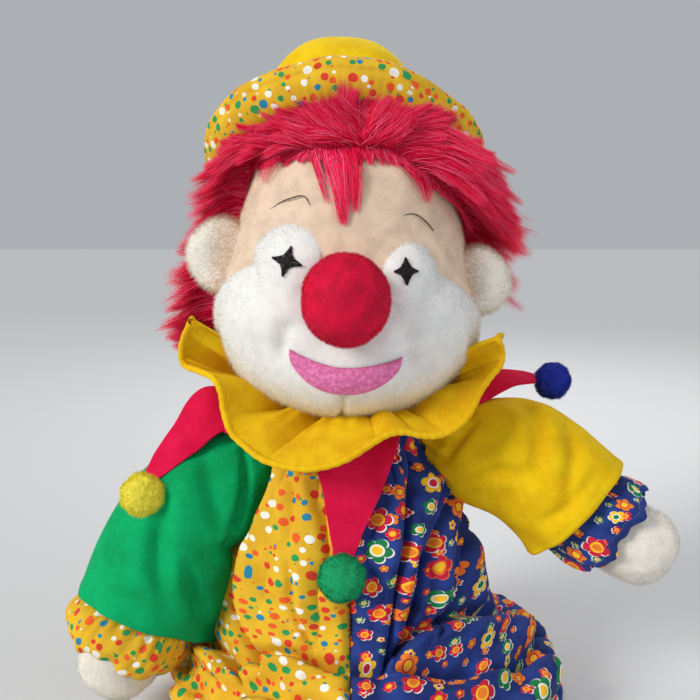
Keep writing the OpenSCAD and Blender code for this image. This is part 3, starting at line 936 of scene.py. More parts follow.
P, h = mouth_grid()
nrm = unit(P - in_head((0, 10, 0)))
mouth_P = P + nrm * (h + 0.6)[..., None]
give(surface("mouth_felt", mouth_P[::-1]), pink_mat, "pink_felt", "head", "mouth")
edge = np.concatenate([mouth_P[0], mouth_P[-1][::-1]]) + nrm[0].mean(0) * 0.2
loops = [dash(edge[k], edge[k + 1], nrm[0, 50], 0.3, 0.55) for k in range(2, len(edge) - 3, 2)]
pink_thread = thread("pink_thread", srgb(232, 120, 182), srgb(246, 170, 214), 0.0006)
give(tube_mesh("mouth_stitches", loops, 0.28, 5), pink_thread, "pink_felt", "head")


# ---- ears
def ear_grid(side, m=48, n=90):
    """Padded two-piece ear: a pillow 48 high, its front dished round the middle."""
    t = np.linspace(0, 1, m)[:, None] * math.pi
    a = circle(n)
    rim = np.sin(t) ** 0.75
    fat = 8.2 * np.sign(np.cos(t)) * np.abs(np.cos(t)) ** 0.8
    w = 21.5 + 1.4 * np.cos(2 * a + 0.5)
    p = pts(w * rim * np.cos(a), -fat + 0 * a, (22.5 if side < 0 else 20.5) * rim * np.sin(a))
    front = ease(-p[..., 1] / 6)
    r = np.hypot(p[..., 0], p[..., 2])
    p[..., 1] += front * (6.0 * bell(r, 10))
    p = p + 0.8 * noise3(p, 12, 21, 22, 23)
    return in_head(p @ rot("z", side * 18).T + np.array([side * 80, -16, 34 if side < 0 else 29]))


for side, word in WORD.items():
    P = ear_grid(side)
    give(surface(f"{word}_ear_pad", P[::-1], wrap=True), cream_mat, "cream_plush", "head", f"{word}_ear")
    p, n = scatter(P, 20000, rng, wrap=True, outward=P.reshape(-1, 3).mean(0))
    # Fibres on the half of each ear nearest the head take the tan shades: the inner cloth's tone with painted
    # shade in its dish
    inner = np.abs(head_own(p)[:, 0]) + 4 * rng.standard_normal(len(p)) < (86 if side < 0 else 81)
    fibres(f"{word}_ear_pile", p, n, 4.2, 0.3, pile_flow(p, n, -0.1), CREAM_PILE + TAN_AND_SHADE_PILE, "cream_plush",
           "head", rng, 0.5, 0.85, 0.8, rng.integers(0, 3, len(p)) + 3 * inner)


# ---- hat
def ring(section, n, wobble):
    """A section (k, 2) of r, z turned about the hat's axis, with cloth coordinates along and across."""
    a = np.radians(np.linspace(-270, 90, n + 1))
    r = section[:, 0][:, None] + 0 * a
    z = section[:, 1][:, None] + 0 * a
    dr, dz = wobble(a[None], r, z)
    r, z = r + dr, z + dz
    P = pts(r * np.cos(a), r * np.sin(a), z)
    along = np.concatenate([[0], np.cumsum(np.hypot(*np.diff(section, axis=0).T))])
    uv = pts(a[None] * section[:, 0].mean() + 0 * r, along[:, None] + 0 * r)
    return in_hat(P), uv


CHANNEL = 0.62  # where the stitched channel lies between the brim's root, -1, and its edge, 1
BRIM_COUNT, BRIM_TURN = 40, 300


def brim_section():
    """Padded brim, turned up: stuffed sides, a seam outside and a stitched channel along its outer edge."""
    t = np.linspace(0, 2 * math.pi, BRIM_COUNT)
    start, end = np.array([66.5, 32.0]), np.array([90.5, 49.5])
    axis = unit(end - start)
    across = np.array([axis[1], -axis[0]])
    half = np.linalg.norm(end - start) / 2
    mid = (start + end) / 2
    s = -np.cos(t)
    fat = 6.6 * np.sign(np.sin(t)) * np.abs(np.sin(t)) ** 0.55
    fat = fat - np.sign(fat) * 1.6 * bell(s - CHANNEL, 0.09)
    return mid + axis * (s * half)[:, None] + across * (fat + 3.0 * (1 - s**2))[:, None]


def brim_wobble(a, r, z):
    """Waves that grow towards the brim's edge."""
    lean = ease((r - 68) / 22)
    w = 1.6 * np.sin(3 * a + 0.6) + 1.0 * np.sin(5 * a + 2.0) + 0.5 * np.sin(14 * a) * np.sin(3 * a)
    return lean * w * 0.5, lean * w


P, uv = ring(brim_section(), BRIM_TURN, brim_wobble)
pucker = 0.35 * np.sin(np.arange(BRIM_TURN + 1) * 1.9)
pucker = pucker[None, :, None] * bell(np.linspace(-1, 1, BRIM_COUNT), 2)[:, None, None]
P = P + pucker * HAT_R[:, 2]
o = surface("brim_cover", P[:, ::-1], uv[:, ::-1])
finer(give(o, dot_mat, "dotted_cotton", "head", "hat_brim", "hat_brim_padding"))

around = np.radians(np.arange(-268, 88, 2.1))
col = np.linspace(0, BRIM_TURN, len(around)).astype(int)
dashes = []
for t in (math.acos(-CHANNEL), 2 * math.pi - math.acos(-CHANNEL)):
    i = np.argmin(np.abs(np.linspace(0, 2 * math.pi, BRIM_COUNT) - t))
    row = P[i, col]
    nrm = unit(np.cross(P[i, np.minimum(col + 1, BRIM_TURN)] - P[i, np.maximum(col - 1, 0)],
                        P[i + 1, col] - P[i - 1, col]))
    for k in range(len(row) - 1):
        a, b = row[k], lerp(row[k], row[k + 1], 0.62)
        inside = in_hat((78.5 * math.cos(around[k]), 78.5 * math.sin(around[k]), 41))
        dashes.append(dash(a, b, outwards(nrm[k], (a + b) / 2 - inside), 0.2, 0.35))
give(tube_mesh("brim_stitches", dashes, 0.25, 5), stitch_mat, "embroidery", "head")

CROWN_COUNT, CROWN_TURN = 60, 220
CROWN_R = [72, 66, 61.5, 59, 54, 49.5, 30, 0.4]
CROWN_Z = [38, 38.5, 42, 50, 70, 97, 119, 126]
t = np.linspace(0, 1, CROWN_COUNT)
at = [0, 0.04, 0.08, 0.14, 0.3, 0.55, 0.8, 1]
crown = pts(curve(at, CROWN_R, t), curve(at, CROWN_Z, t))


def crown_wobble(a, r, z):
    """Dents all over, and gathers where the crown is sewn to the brim."""
    low = ease((60 - z) / 20) * ease((z - 37) / 4)
    w = 1.5 * np.sin(2 * a + 1) + 1.1 * np.sin(5 * a) * ease((z - 60) / 40) * ease(r / 30)
    gather = 0.9 * low * np.sin(34 * a + 2 * np.sin(3 * a))
    return w * ease(r / 20) + gather, 0.8 * np.sin(3 * a) * ease(r / 30)


P, uv = ring(crown, CROWN_TURN, crown_wobble)
seams = 0
for a in (-12, 100, -170):
    d = np.abs(np.radians(np.linspace(-270, 90, CROWN_TURN + 1) - a))
    seams = seams + bell(np.minimum(d, 2 * math.pi - d) * np.linspace(62, 6, CROWN_COUNT)[:, None], 1.4)
P = P - unit(P - in_hat((0, 0, 70))) * (1.1 * seams)[..., None]
o = surface("crown_cover", P, uv)
finer(give(o, yellow_mat, "yellow_fleece", "head", "hat_crown", "hat_crown_stuffing"))

# ---- hair
GRAVITY = np.array([0.0, 0.0, -1.0])


def hair(name, roots, outs, combed, length, clumps, seed, nodes, lift, fall, face):
    """Long pile: strands leave along outs, follow combed, fall, and draw together at the tips into tufts."""
    steps, gather = 7, 0.8
    r = np.random.default_rng(seed)
    n = len(roots)
    ln = (length * (0.72 + 0.5 * r.random(n)))[:, None]
    d0 = unit(outs * lift + combed + 0.16 * r.standard_normal((n, 3)))
    d1 = unit(combed + fall * GRAVITY + 0.12 * outs + 0.12 * r.standard_normal((n, 3)))
    heads = r.choice(n, clumps, replace=False)
    gap = ((roots[:, None] - roots[None, heads]) ** 2).sum(-1) * (0.7 + 0.6 * r.random((1, clumps)))
    mine = heads[gap.argmin(1)]
    t = np.linspace(0, 1, steps)
    line = np.zeros((n, steps, 3))
    line[:, 0] = roots
    for k in range(1, steps):
        step = unit(lerp(d0, d1, ease(t[k] * 1.3)))
        line[:, k] = line[:, k - 1] + step * ln / (steps - 1)
    curl = 1.1 * noise3(roots, 7, seed, seed + 1, seed + 2)
    line += curl[:, None] * (t**1.5)[None, :, None]
    target = line[mine] + (roots - roots[mine])[:, None] * (1 - t * 0.95)[None, :, None]
    pull = (gather * t**1.2)[None, :, None] * (0.75 + 0.25 * r.random((n, 1, 1)))
    line = lerp(line, target, pull)
    seen = unit(outs + np.array(face))
    o = strands(name, line, np.repeat(seen[:, None], steps, 1), 0.46, r)
    if nodes:
        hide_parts(*nodes)


def scalp(count, az0, az1, low, high, seed):
    """Random roots on the head between two azimuths and two heights over the hairline."""
    r = np.random.default_rng(seed)
    az = az0 + (az1 - az0) * r.random(count)
    low, high = hairline(az) + low, np.minimum(hairline(az) + high, 118)
    z = low + (high - low) * r.random(count)
    p, n = head_points(az, s_at(z))
    return in_head(p), n @ HEAD_R.T, az, z


LINE_AZ = [-180, -171, -161, -127, -101, -80, -70, -65, -51, -32, -14, -4, 6, 36, 90, 160, 174, 180]
LINE_Z = [60, 82, 92, 94, 96, 98, 97, 92, 86, 79, 72, 66, 58, 4, -34, -30, -6, 30]


def hairline(az):
    """Local height of the lowest roots round the head; the face is at -90."""
    return np.interp((np.asarray(az, float) + 180) % 360 - 180, LINE_AZ, LINE_Z)


def comb(roots, outs, az, side, down):
    """Lie of the hair: sideways away from the middle of the face, down, and a slow swirl."""
    a = np.radians(az)
    across = pts(np.cos(a), 0 * a, 0 * a) @ HEAD_R.T
    f = side * across + down * GRAVITY + 0.18 * noise3(roots, 22, 5, 6, 7)
    return f - 0.7 * (f * outs).sum(1, keepdims=True) * outs


def sweep(roots, outs, az, z, band):
    """Lie of the fur round the face: out of the cap, up over the brim and away from the parting."""
    v = np.clip((z - hairline(az)) / band, 0, 1)
    part = np.tanh((az + 92 - 8 * (1 - v) + 14 * noise(roots, 9, 54)) / 12)
    flat = np.cos(np.radians(az + 90))
    side = part * (0.75 + 0.5 * (1 - flat))
    up = lerp(0.1, 1.0, v) * np.clip(flat, 0, 1) ** 0.6 - 0.30 * np.clip(part, 0, 1) * (1 - 0.4 * v)
    f = pts(side, 0 * side, up) @ HEAD_R.T + 0.3 * noise3(roots, 15, 51, 52, 53)
    return f - 0.45 * (f * outs).sum(1, keepdims=True) * outs


FUR = [
    # name, count, azimuths, lowest and highest root over the hairline, comb, length, tufts, fall, lift, node
    ("hair_front_right", 14500, -176, -94, 1, 27, None, 25, 110, 0.1, 1.5, ["hair_fringe"]),
    ("hair_front_left", 15500, -98, -6, 1, 27, None, 30, 95, 0.15, 1.5, []),
    ("hair_edge", 5200, -172, -8, -1, 5, (0.8, 0.7), 11, 170, 0.3, 1.0, []),
    ("hair_left_side", 15500, -60, 24, 3, 60, (1.25, 0.2), 48, 130, 0.12, 1.7, ["hair_left"]),
    ("hair_right_side", 16000, 152, 216, 1, 80, (1.2, 0.1), 38, 170, 0.15, 1.9, ["hair_right"]),
    ("hair_back_pile", 16500, 8, 172, 0, 150, (0.35, 0.7), 32, 240, 0.4, 1.2, ["hair_back"]),
]
for k, (name, count, az0, az1, low, high, way, length, tufts, fall, lift, nodes) in enumerate(FUR):
    roots, outs, az, z = scalp(count, az0, az1, low, high, 31 + k)
    # nothing grows where the hat presses on the head; the fringe starts a little higher
    under = ((roots - HAT_C) @ HAT_R)[:, 2] < np.where(head_own(roots)[:, 1] < -42, 33, 24)
    roots, outs, az, z = roots[under], outs[under], az[under], z[under]
    way = sweep(roots, outs, az, z, 27) if way is None else comb(roots, outs, az, *way)
    face = (0, 0, 0) if "back" in name else (0, -1.1, 0.6)
    hair(name, roots, outs, way, length, tufts, 31 + k, nodes, lift, fall, face)


def lock(name, x0, z0, x1, z1, spread, count, bow, thick, seed):
    """One combed lock lying on the forehead from (x0, z0) to its tip at (x1, z1)."""
    r = np.random.default_rng(seed)
    t = np.linspace(0, 1, 12)
    off = r.normal(0, 1, (count, 1))
    u = r.normal(0, 1, (count, 1))
    end = 1 - 0.3 * r.random((count, 1)) ** 2
    tt = t[None] * end
    width = spread * (1 - 0.8 * tt**1.3) + 0.5
    x = lerp(x0, x1, tt) + off * width + bow * np.sin(math.pi * tt) + 0.5 * np.sin(6 * tt + 3 * u)
    z = lerp(z0, z1, tt) + 0.6 * u * tt
    rise = thick * np.sin(math.pi * np.clip(tt * 0.9 + 0.12, 0, 1)) * (0.5 + 0.5 * r.random((count, 1)))
    rise = rise + 2.4 * ease(tt / 0.25) - 0.5
    p, n = front_spot(x, z)
    line = in_head(p + n * rise[..., None])
    strands(name, line, n @ HEAD_R.T, 0.6, r)


lock("forelock", -14.5, 101, -5.2, 52, 3.0, 300, 1.5, 3.6, 41)
lock("forelock_side", -8, 101, 1.5, 60, 1.8, 120, 2.0, 3.4, 45)
lock("forelock_wisp", -24, 98, -15, 64, 0.7, 34, -1.0, 2.2, 42)
lock("stray_right", -44, 93, -52, 76, 4.0, 22, -2.0, 2.4, 43)
lock("stray_left", 30, 92, 42, 70, 5.0, 60, 2.0, 3.0, 44)

# ---- collar
# Some outlines and folds are placed as the camera sees them, by their x (to the right) and y (down) in
# millimetres on a flat pane, square to the camera's line of sight, SIGHT away, its origin on that line.
VIEW = np.array(CAMERA) / MM
SIGHT = 680.0


def on_circle(x, y, radius):
    """The point seen at x, y on the pane at a distance from the neck's axis, on its near side."""
    c, s = math.cos(TILT), math.sin(TILT)
    d = np.array([x, SIGHT * c - y * s, -SIGHT * s - y * c])
    a = d[0] ** 2 + d[1] ** 2
    b = 2 * (VIEW[0] * d[0] + VIEW[1] * d[1])
    c = VIEW[0] ** 2 + VIEW[1] ** 2 - radius**2
    t = (-b - math.sqrt(max(b * b - 4 * a * c, 0))) / (2 * a)
    return VIEW + t * d


# The collar's outer edge in front: x and y on the pane, and the distance from the neck's axis
EDGE = [(-106, -18.67, 112), (-112, -3.33, 113), (-110.67, 9.33, 112), (-100.67, 14, 108),
        (-91.33, 18.67, 106), (-86, 28, 105), (-84, 40.67, 106), (-79.33, 54.67, 107), (-70, 64, 107),
        (-58.67, 72.67, 107), (-44.67, 77.33, 107), (-30, 79.33, 107), (-15.33, 77.33, 106),
        (-0.67, 72, 104), (14, 62.67, 101), (26, 56, 99), (36.67, 54.67, 99), (48, 57, 101),
        (58.67, 57, 103), (69.33, 52.67, 105), (79.33, 42.67, 106), (86.67, 28, 107), (94, 17.33, 108),
        (100, 10, 109), (101.33, 1.33, 110), (98.67, -8, 111)]
front_edge = np.array([on_circle(*e) for e in EDGE])
# and behind: x, y, z
BACK = [(104, 26, 243), (96, 52, 232), (78, 74, 215), (56, 90, 208), (34, 99, 193), (10, 104, 201),
        (-14, 104, 190), (-38, 98, 203), (-60, 87, 206), (-80, 71, 225), (-97, 50, 243), (-106, 26, 256)]
edge_loop = np.concatenate([front_edge, np.array(BACK, float)])


def ruffle_grid(m=56, n=560):
    """From the neck ring to the waving outer edge: gathers run out from the neck and open into the waves."""
    q = np.concatenate([edge_loop, edge_loop[:1]])
    E = spline(q, np.linspace(0, 1, n))
    ang = np.arctan2(E[:, 1], E[:, 0])
    t = np.linspace(0, 1, m)[:, None]
    inner = pts(37 * np.cos(ang), 37 * np.sin(ang), 206 + 0 * ang)
    front = ease((-np.sin(ang) + 0.1) / 0.9)
    mid = lerp(inner, E, 0.5) + pts(0 * ang, 0 * ang, 7 * front - 7 * (1 - front))
    mid[:, :2] = mid[:, :2] * (1 + 0.07 * (1 - front))[:, None]
    tt = t[..., None]
    P = (1 - tt) ** 2 * inner + 2 * tt * (1 - tt) * mid + tt**2 * E
    cut = np.cumsum(np.concatenate([[0], np.linalg.norm(np.diff(E, axis=0), axis=1)]))
    g = cut / cut[-1] * 2 * math.pi
    wander = 1.4 * np.sin(3 * g + 1) + 0.9 * np.sin(7 * g + 0.3)
    fold = pleat(18 * g + 2.2 * wander + 1.2 * t)
    strong = (0.7 + 0.3 * np.sin(5 * g + 2)) * ease(t / 0.1) * (1 - t) ** 0.75 * 1.5
    fine = np.sin(61 * g + 3 * wander) * (1 - t) ** 2
    N = outwards(grid_normals(P), (0, 0, 1))
    P = P + N * (6.0 * strong * fold + 1.8 * fine + 0.8 * noise(P, 16, 61))[..., None]
    step = np.linalg.norm(np.diff(P[:, n // 2], axis=0), axis=1)
    long = np.concatenate([[0], np.cumsum(step)])[:, None]
    return P, pts(cut[None], long), E


def press(o):
    """Gives the piece its own copy of its mesh."""
    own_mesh(o)


ruffle_P, uv, ruffle_E = ruffle_grid()
o = surface("collar_ruffle", ruffle_P, uv)
solid(o, 2.0, 0)
finer(give(o, collar_mat, "yellow_fleece", "gown", "ruffle"))
press(o)

hem_line = ruffle_E + unit(ruffle_E - np.array([0, 0, 225])) * 0.2
hem_radius = 2.0 + 0.15 * np.sin(np.arange(len(hem_line)) * 0.9)
o = tube_mesh("collar_hem", [hem_line], hem_radius, 10)
press(give(o, collar_mat, "yellow_fleece", "gown"))

# ---- gown
# Radius and height from the neck to the hem, and how much wider the two sides are at a few heights
GOWN = np.array([(34, 206), (39, 201), (44, 192), (45, 181), (47, 165), (49.5, 148), (54.5, 116), (64, 88),
                 (77, 66), (93, 49), (109, 38), (129, 29), (137.5, 18), (137, 8), (130, 0)], float)
WIDE_Z = [0, 20, 44, 106, 150, 175, 192]
WIDE_LEFT = [0.06, 0.0, 0.13, 0.46, 0.27, 0.2, 0.1]
WIDE_RIGHT = [-0.14, -0.16, 0.02, 0.46, 0.26, 0.05, 0.05]


def seen(p):
    """Where the camera sees points: x and y on the pane."""
    v = p - VIEW
    depth = v[..., 1] * math.cos(TILT) - v[..., 2] * math.sin(TILT)
    down = -v[..., 1] * math.sin(TILT) - v[..., 2] * math.cos(TILT)
    return pts(v[..., 0], down) * (SIGHT / depth)[..., None]


def crease(at, line, width, depth):
    """A sewn-in or hanging fold along a line on the pane: a valley with a soft ridge beside it."""
    dense = spline(line, np.linspace(0, 1, 60))
    d = np.full(at.shape[:-1], 1e9)
    near = np.zeros(at.shape[:-1])
    for k, q in enumerate(dense):
        e = np.hypot(at[..., 0] - q[0], at[..., 1] - q[1])
        near = np.where(e < d, k / 59, near)
        d = np.minimum(d, e)
    fade = np.sin(math.pi * np.clip(near * 0.94 + 0.03, 0, 1)) ** 0.5
    return depth * fade * (0.55 * bell(d, 3.2 * width) - bell(d, width))


def ledge(at, line, width, height, reach, side=1):
    """Cloth that stands over on one side of a line on the pane and is tucked in on the other."""
    line = np.asarray(line, float)
    s = side * (at[..., 1] - curve(line[:, 0], line[:, 1], at[..., 0]))
    inside = ease((at[..., 0] - line[0, 0] + 8) / 16) * ease((line[-1, 0] + 8 - at[..., 0]) / 16)
    over = ease(s / width + 0.5) * np.exp(-np.maximum(s, 0) / reach)
    return inside * height * (over - 0.8 * bell(s + width * 0.7, width))


# Rolls of cloth near the floor: points (x, y), then width, height and reach
GOWN_LEDGES = [
    ([(-70.7, 217.3), (-58.7, 209.3), (-40, 207.3), (-20, 214.7), (0, 218), (17.3, 222.7)], 4.67, 10, 30),
    ([(22.7, 212), (45.3, 190), (66, 180.7), (82, 178.7), (102.7, 182.7), (121.3, 201.3),
      (132, 222)], 5.33, 12, 33.33),
    ([(25.3, 218.7), (60, 221.3), (93.3, 220), (126.7, 213.3)], 3.33, 6, 17.33),
    ([(-112, 226.7), (-101.3, 209.3), (-90.7, 201.3), (-77.3, 212), (-69.3, 226.7)], 4.67, 8, 23.33),
]
# Hanging folds: points (y, x) down each one, then width, height, reach and the side that stands out
GOWN_FLAPS = [
    ([(70, -40), (103.3, -48.7), (118.7, -56), (133.3, -62), (152.7, -65.3), (169.3, -64.7), (194.7, -60),
      (212, -53.3)], 3.33, 13, 40, 1),
    ([(76.7, 34.7), (103.3, 33.3), (129.3, 30.7), (169.3, 25.3), (217.3, 20)], 2.67, 7, 16, -1),
    ([(76.7, 64), (106.7, 54), (135.3, 44.7), (169.3, 38), (212, 26.7)], 2.67, 8, 17.33, -1),
    ([(80, 74), (122.7, 70.7), (165.3, 64.7), (190.7, 53.3)], 2.67, 8, 14.67, -1),
    ([(80, 76), (126.7, 91.3), (160.7, 104.7), (199.3, 120)], 3.33, 7, 17.33, -1),
    ([(140, -33.3), (173.3, -29.3), (200, -21.3)], 3.33, 5, 17.33, 1),
]
# Creases: points (x, y), then width and depth
GOWN_FOLDS = [
    ([(-45.3, 74.7), (-55.3, 103.3), (-64, 118.7), (-71.3, 133.3), (-73.3, 152.7), (-72, 169.3),
      (-66, 194.7), (-57.3, 208)], 4, 11.0),
    ([(-33.3, 78.7), (-32, 103.3), (-36, 130)], 4, 5.0),
    ([(-22.7, 86.7), (-16, 113.3), (-8, 146.7), (1.3, 180), (12, 200)], 4.67, 5.0),
    ([(-58.7, 100), (-54.7, 130), (-46.7, 160), (-33.3, 186.7)], 5.33, 4.0),
    ([(-102.7, 193.3), (-93.3, 214), (-81.3, 226.7)], 2.67, 5.0),
    ([(-85.3, 140), (-90.7, 173.3), (-96, 200)], 4, 8.0),
    ([(-33.3, 226.7), (-13.3, 217.3), (10, 222.7)], 2.67, 4.0),
    ([(32, 80), (32, 103.3), (30.7, 129.3), (24, 169.3), (21.3, 214)], 3.67, 9.0),
    ([(60, 74.7), (50.7, 106.7), (42.7, 135.3), (36, 169.3), (25.3, 212)], 3.67, 10.0),
    ([(68, 80), (67.3, 122.7), (62, 165.3), (47.3, 197.3)], 3.67, 10.0),
    ([(76, 86.7), (89.3, 126.7), (104, 160.7), (121.3, 199.3)], 4, 9.0),
    ([(82.7, 126.7), (90.7, 160), (86.7, 181.3)], 4, 7.0),
    ([(49.3, 140), (49.3, 166.7), (44, 186.7)], 3.33, 6.0),
]


def gown_point(a, w):
    """The gown over the hand: a in degrees round the axis from +x, w from 0 at the neck to 1 at the hem."""
    cut = np.concatenate([[0], np.cumsum(np.hypot(*np.diff(GOWN, axis=0).T))])
    r, z = curve(cut, GOWN[:, 0], w * cut[-1]), curve(cut, GOWN[:, 1], w * cut[-1])
    c, s = np.cos(np.radians(a)), np.sin(np.radians(a))
    wide = 1 + np.interp(z, WIDE_Z, WIDE_LEFT) * np.clip(c, 0, 1) ** 2
    wide = wide + np.interp(z, WIDE_Z, WIDE_RIGHT) * np.clip(-c, 0, 1) ** 2
    belly = 15 * bell(z - 125, 42) * np.clip(-s, 0, 1) ** 2 + 10 * bell(z - 120, 42) * np.clip(s, 0, 1) ** 2
    r = r * wide + belly
    return pts(r * c, r * s, z), cut[-1] * w


GOWN_ROWS = 300


def gown_grid(start, m=GOWN_ROWS, n=150):
    """One panel, a quarter of the gown from the angle start on, with its pleats, gathers and folds."""
    a = start + np.linspace(0, 90, n)[None]
    w = np.linspace(0, 1, m)[:, None]
    P, v = gown_point(a + 0 * w, w + 0 * a)
    N = outwards(grid_normals(P), P * np.array([1, 1, 0]))
    z, th = P[..., 2], np.radians(a)
    warp = noise(P, 42, 71, 2)
    long = pleat(14 * th + 2.4 * warp + 0.6 * np.sin(z / 31))
    amount = 3.4 * bell(z - 108, 58) * (0.6 + 0.4 * noise(P, 60, 72, 1))
    gathers = pleat(40 * th + 1.8 * np.sin(5 * th)) * ease((z - 140) / 34) * 1.6
    pool = ease((64 - z) / 26)
    rolls = np.sin(v / 5.4 + 2.6 * noise(P, 46, 73, 2) + 1.3 * np.sin(3 * th + 1))
    rolls = np.sign(rolls) * np.abs(rolls) ** 0.75
    crumple = 1 - np.abs(noise(P, 19, 74, 2)) * 2.2
    d = amount * long + gathers + 4.6 * pool * rolls + (0.4 + 0.8 * pool) * crumple * ease((178 - z) / 20)
    front = ease((-P[..., 1]) / 25)
    at = seen(P)
    for line, width, depth in GOWN_FOLDS:
        d = d + front * crease(at, line, width, depth)
    for line, width, height, reach, side in GOWN_FLAPS:
        d = d + front * ledge(at[..., ::-1], line, width, height, reach, side)
    for line, width, height, reach in GOWN_LEDGES:
        d = d + front * ledge(at, line, width, height, reach)
    d = d + front * 6 * bell(at[..., 0] + 33.3, 36.7) * bell(at[..., 1] - 166.7, 33.3)
    # the folds die out at the panel's side seams, which pull in, as does the hem's stitching
    edge = np.minimum(a - start, start + 90 - a)
    gap = np.radians(edge) * np.hypot(P[..., 0], P[..., 1])
    d = d * ease((gap + 5) / 11) - 1.5 * bell(gap, 1.7)
    d = d - 0.7 * bell(v - v.max() + 11, 1.1)
    P = P + N * d[..., None]
    P[..., 2] = np.maximum(P[..., 2], 0.4)
    flat = curve([0, 30, 60, 110, 190], [118, 104, 84, 66, 56], z)
    middle = 270 if start >= 180 else 90
    u = np.radians(a - middle) * flat
    return P, pts(u, -v) + np.array([400.0 if start >= 180 else 0, 0])


panels = []
for node_name, start in (("gown_front_right", 180), ("gown_front_left", 270), ("gown_back_right", 90),
                         ("gown_back_left", 0)):
    dots = "right" in node_name
    mat, slot_name = (dot_mat, "dotted_cotton") if dots else (flower_mat, "flowered_cotton")
    P, uv = gown_grid(start)
    o = surface(node_name.replace("gown", "cloth"), P, uv)
    solid(o, 0.8, -1)
    give(o, mat, slot_name, "gown", node_name)
    if "front" in node_name:
        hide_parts(node_name.replace("gown_front_", "") + "_armhole_tape")
    panels.append(P)

# The hem's stitches run 10 mm above its edge, along a panel some 290 mm long
HEM_ROW = round((GOWN_ROWS - 1) * (1 - 10.2 / 290))
for k, P in enumerate(panels):
    line = P[HEM_ROW]
    N = outwards(grid_normals(P)[HEM_ROW], line - np.array([0, 0, line[:, 2].mean()]))
    dashes = [dash(line[i], lerp(line[i], line[i + 2], 0.66), N[i], 0.2, 0.25)
              for i in range(0, len(line) - 2, 2)]
    give(tube_mesh(f"hem_stitches_{k}", dashes, 0.22, 5), stitch_mat, "embroidery", "gown")

# ---- arms
# The sides: -1 is the puppet's right arm and 1 its left one
SHOULDER = {-1: np.array([-61, -12, 178.5]), 1: np.array([61, -12, 178.5])}
ARM_R = {-1: rot("z", 200) @ rot("y", 142), 1: rot("z", -11) @ rot("y", 115)}
ARM_L = {-1: 134.0, 1: 106.0}


def in_arm(side, p):
    """Points from an arm's own frame, its z along the arm, to the row frame."""
    return np.asarray(p, float) @ ARM_R[side].T + SHOULDER[side]


# How far the sleeve reaches; ARM_L is where the mitt begins
SLEEVE_L = {-1: 134.0, 1: 97.0}
SLEEVE = {
    -1: dict(t=[-0.12, 0.0, 0.1, 0.28, 0.52, 0.78, 0.92, 1.0], wide=[16, 24, 32, 38, 42, 44.5, 45, 44],
             deep=[18, 24, 30, 34, 37, 38, 37.5, 36], bow=11.0, skew=-0.075, flare=11.0),
    1: dict(t=[-0.12, 0.0, 0.1, 0.28, 0.52, 0.78, 0.92, 1.0], wide=[18, 25, 32, 38, 40, 41, 41, 40],
            deep=[20, 26, 31, 35, 37, 38, 38, 37], bow=12.0, skew=-0.13, flare=0.0),
}
SLEEVE_FOLDS = {
    -1: [
        ([(-69.3, 68), (-70.7, 93.3), (-76, 113.3), (-82.7, 130)], 3.33, 7.0),
        ([(-122.7, 96.7), (-128, 128.7), (-124.7, 161.3)], 7.33, 8.0),
        ([(-109.3, 143.3), (-104.7, 164), (-97.3, 185.3)], 5.33, 7.5),
        ([(-73.3, 126.7), (-82.7, 130.7), (-94.7, 134.7)], 4.67, 6.0),
        ([(-97.3, 66.7), (-92, 93.3), (-85.3, 118.7)], 8, 4.0),
    ],
    1: [
        ([(64.7, 72), (73.3, 60), (82.7, 50)], 3.33, 6.0),
        ([(112.7, 32), (124, 53.3), (125.3, 84)], 6.67, 6.0),
        ([(80, 88), (100, 80), (116, 84)], 5.33, 5.0),
        ([(140, 40), (148, 66.7), (144, 100)], 6, 5.0),
        ([(160, 86.7), (146.7, 103.3), (130, 113.3)], 5.33, 4.0),
    ],
}


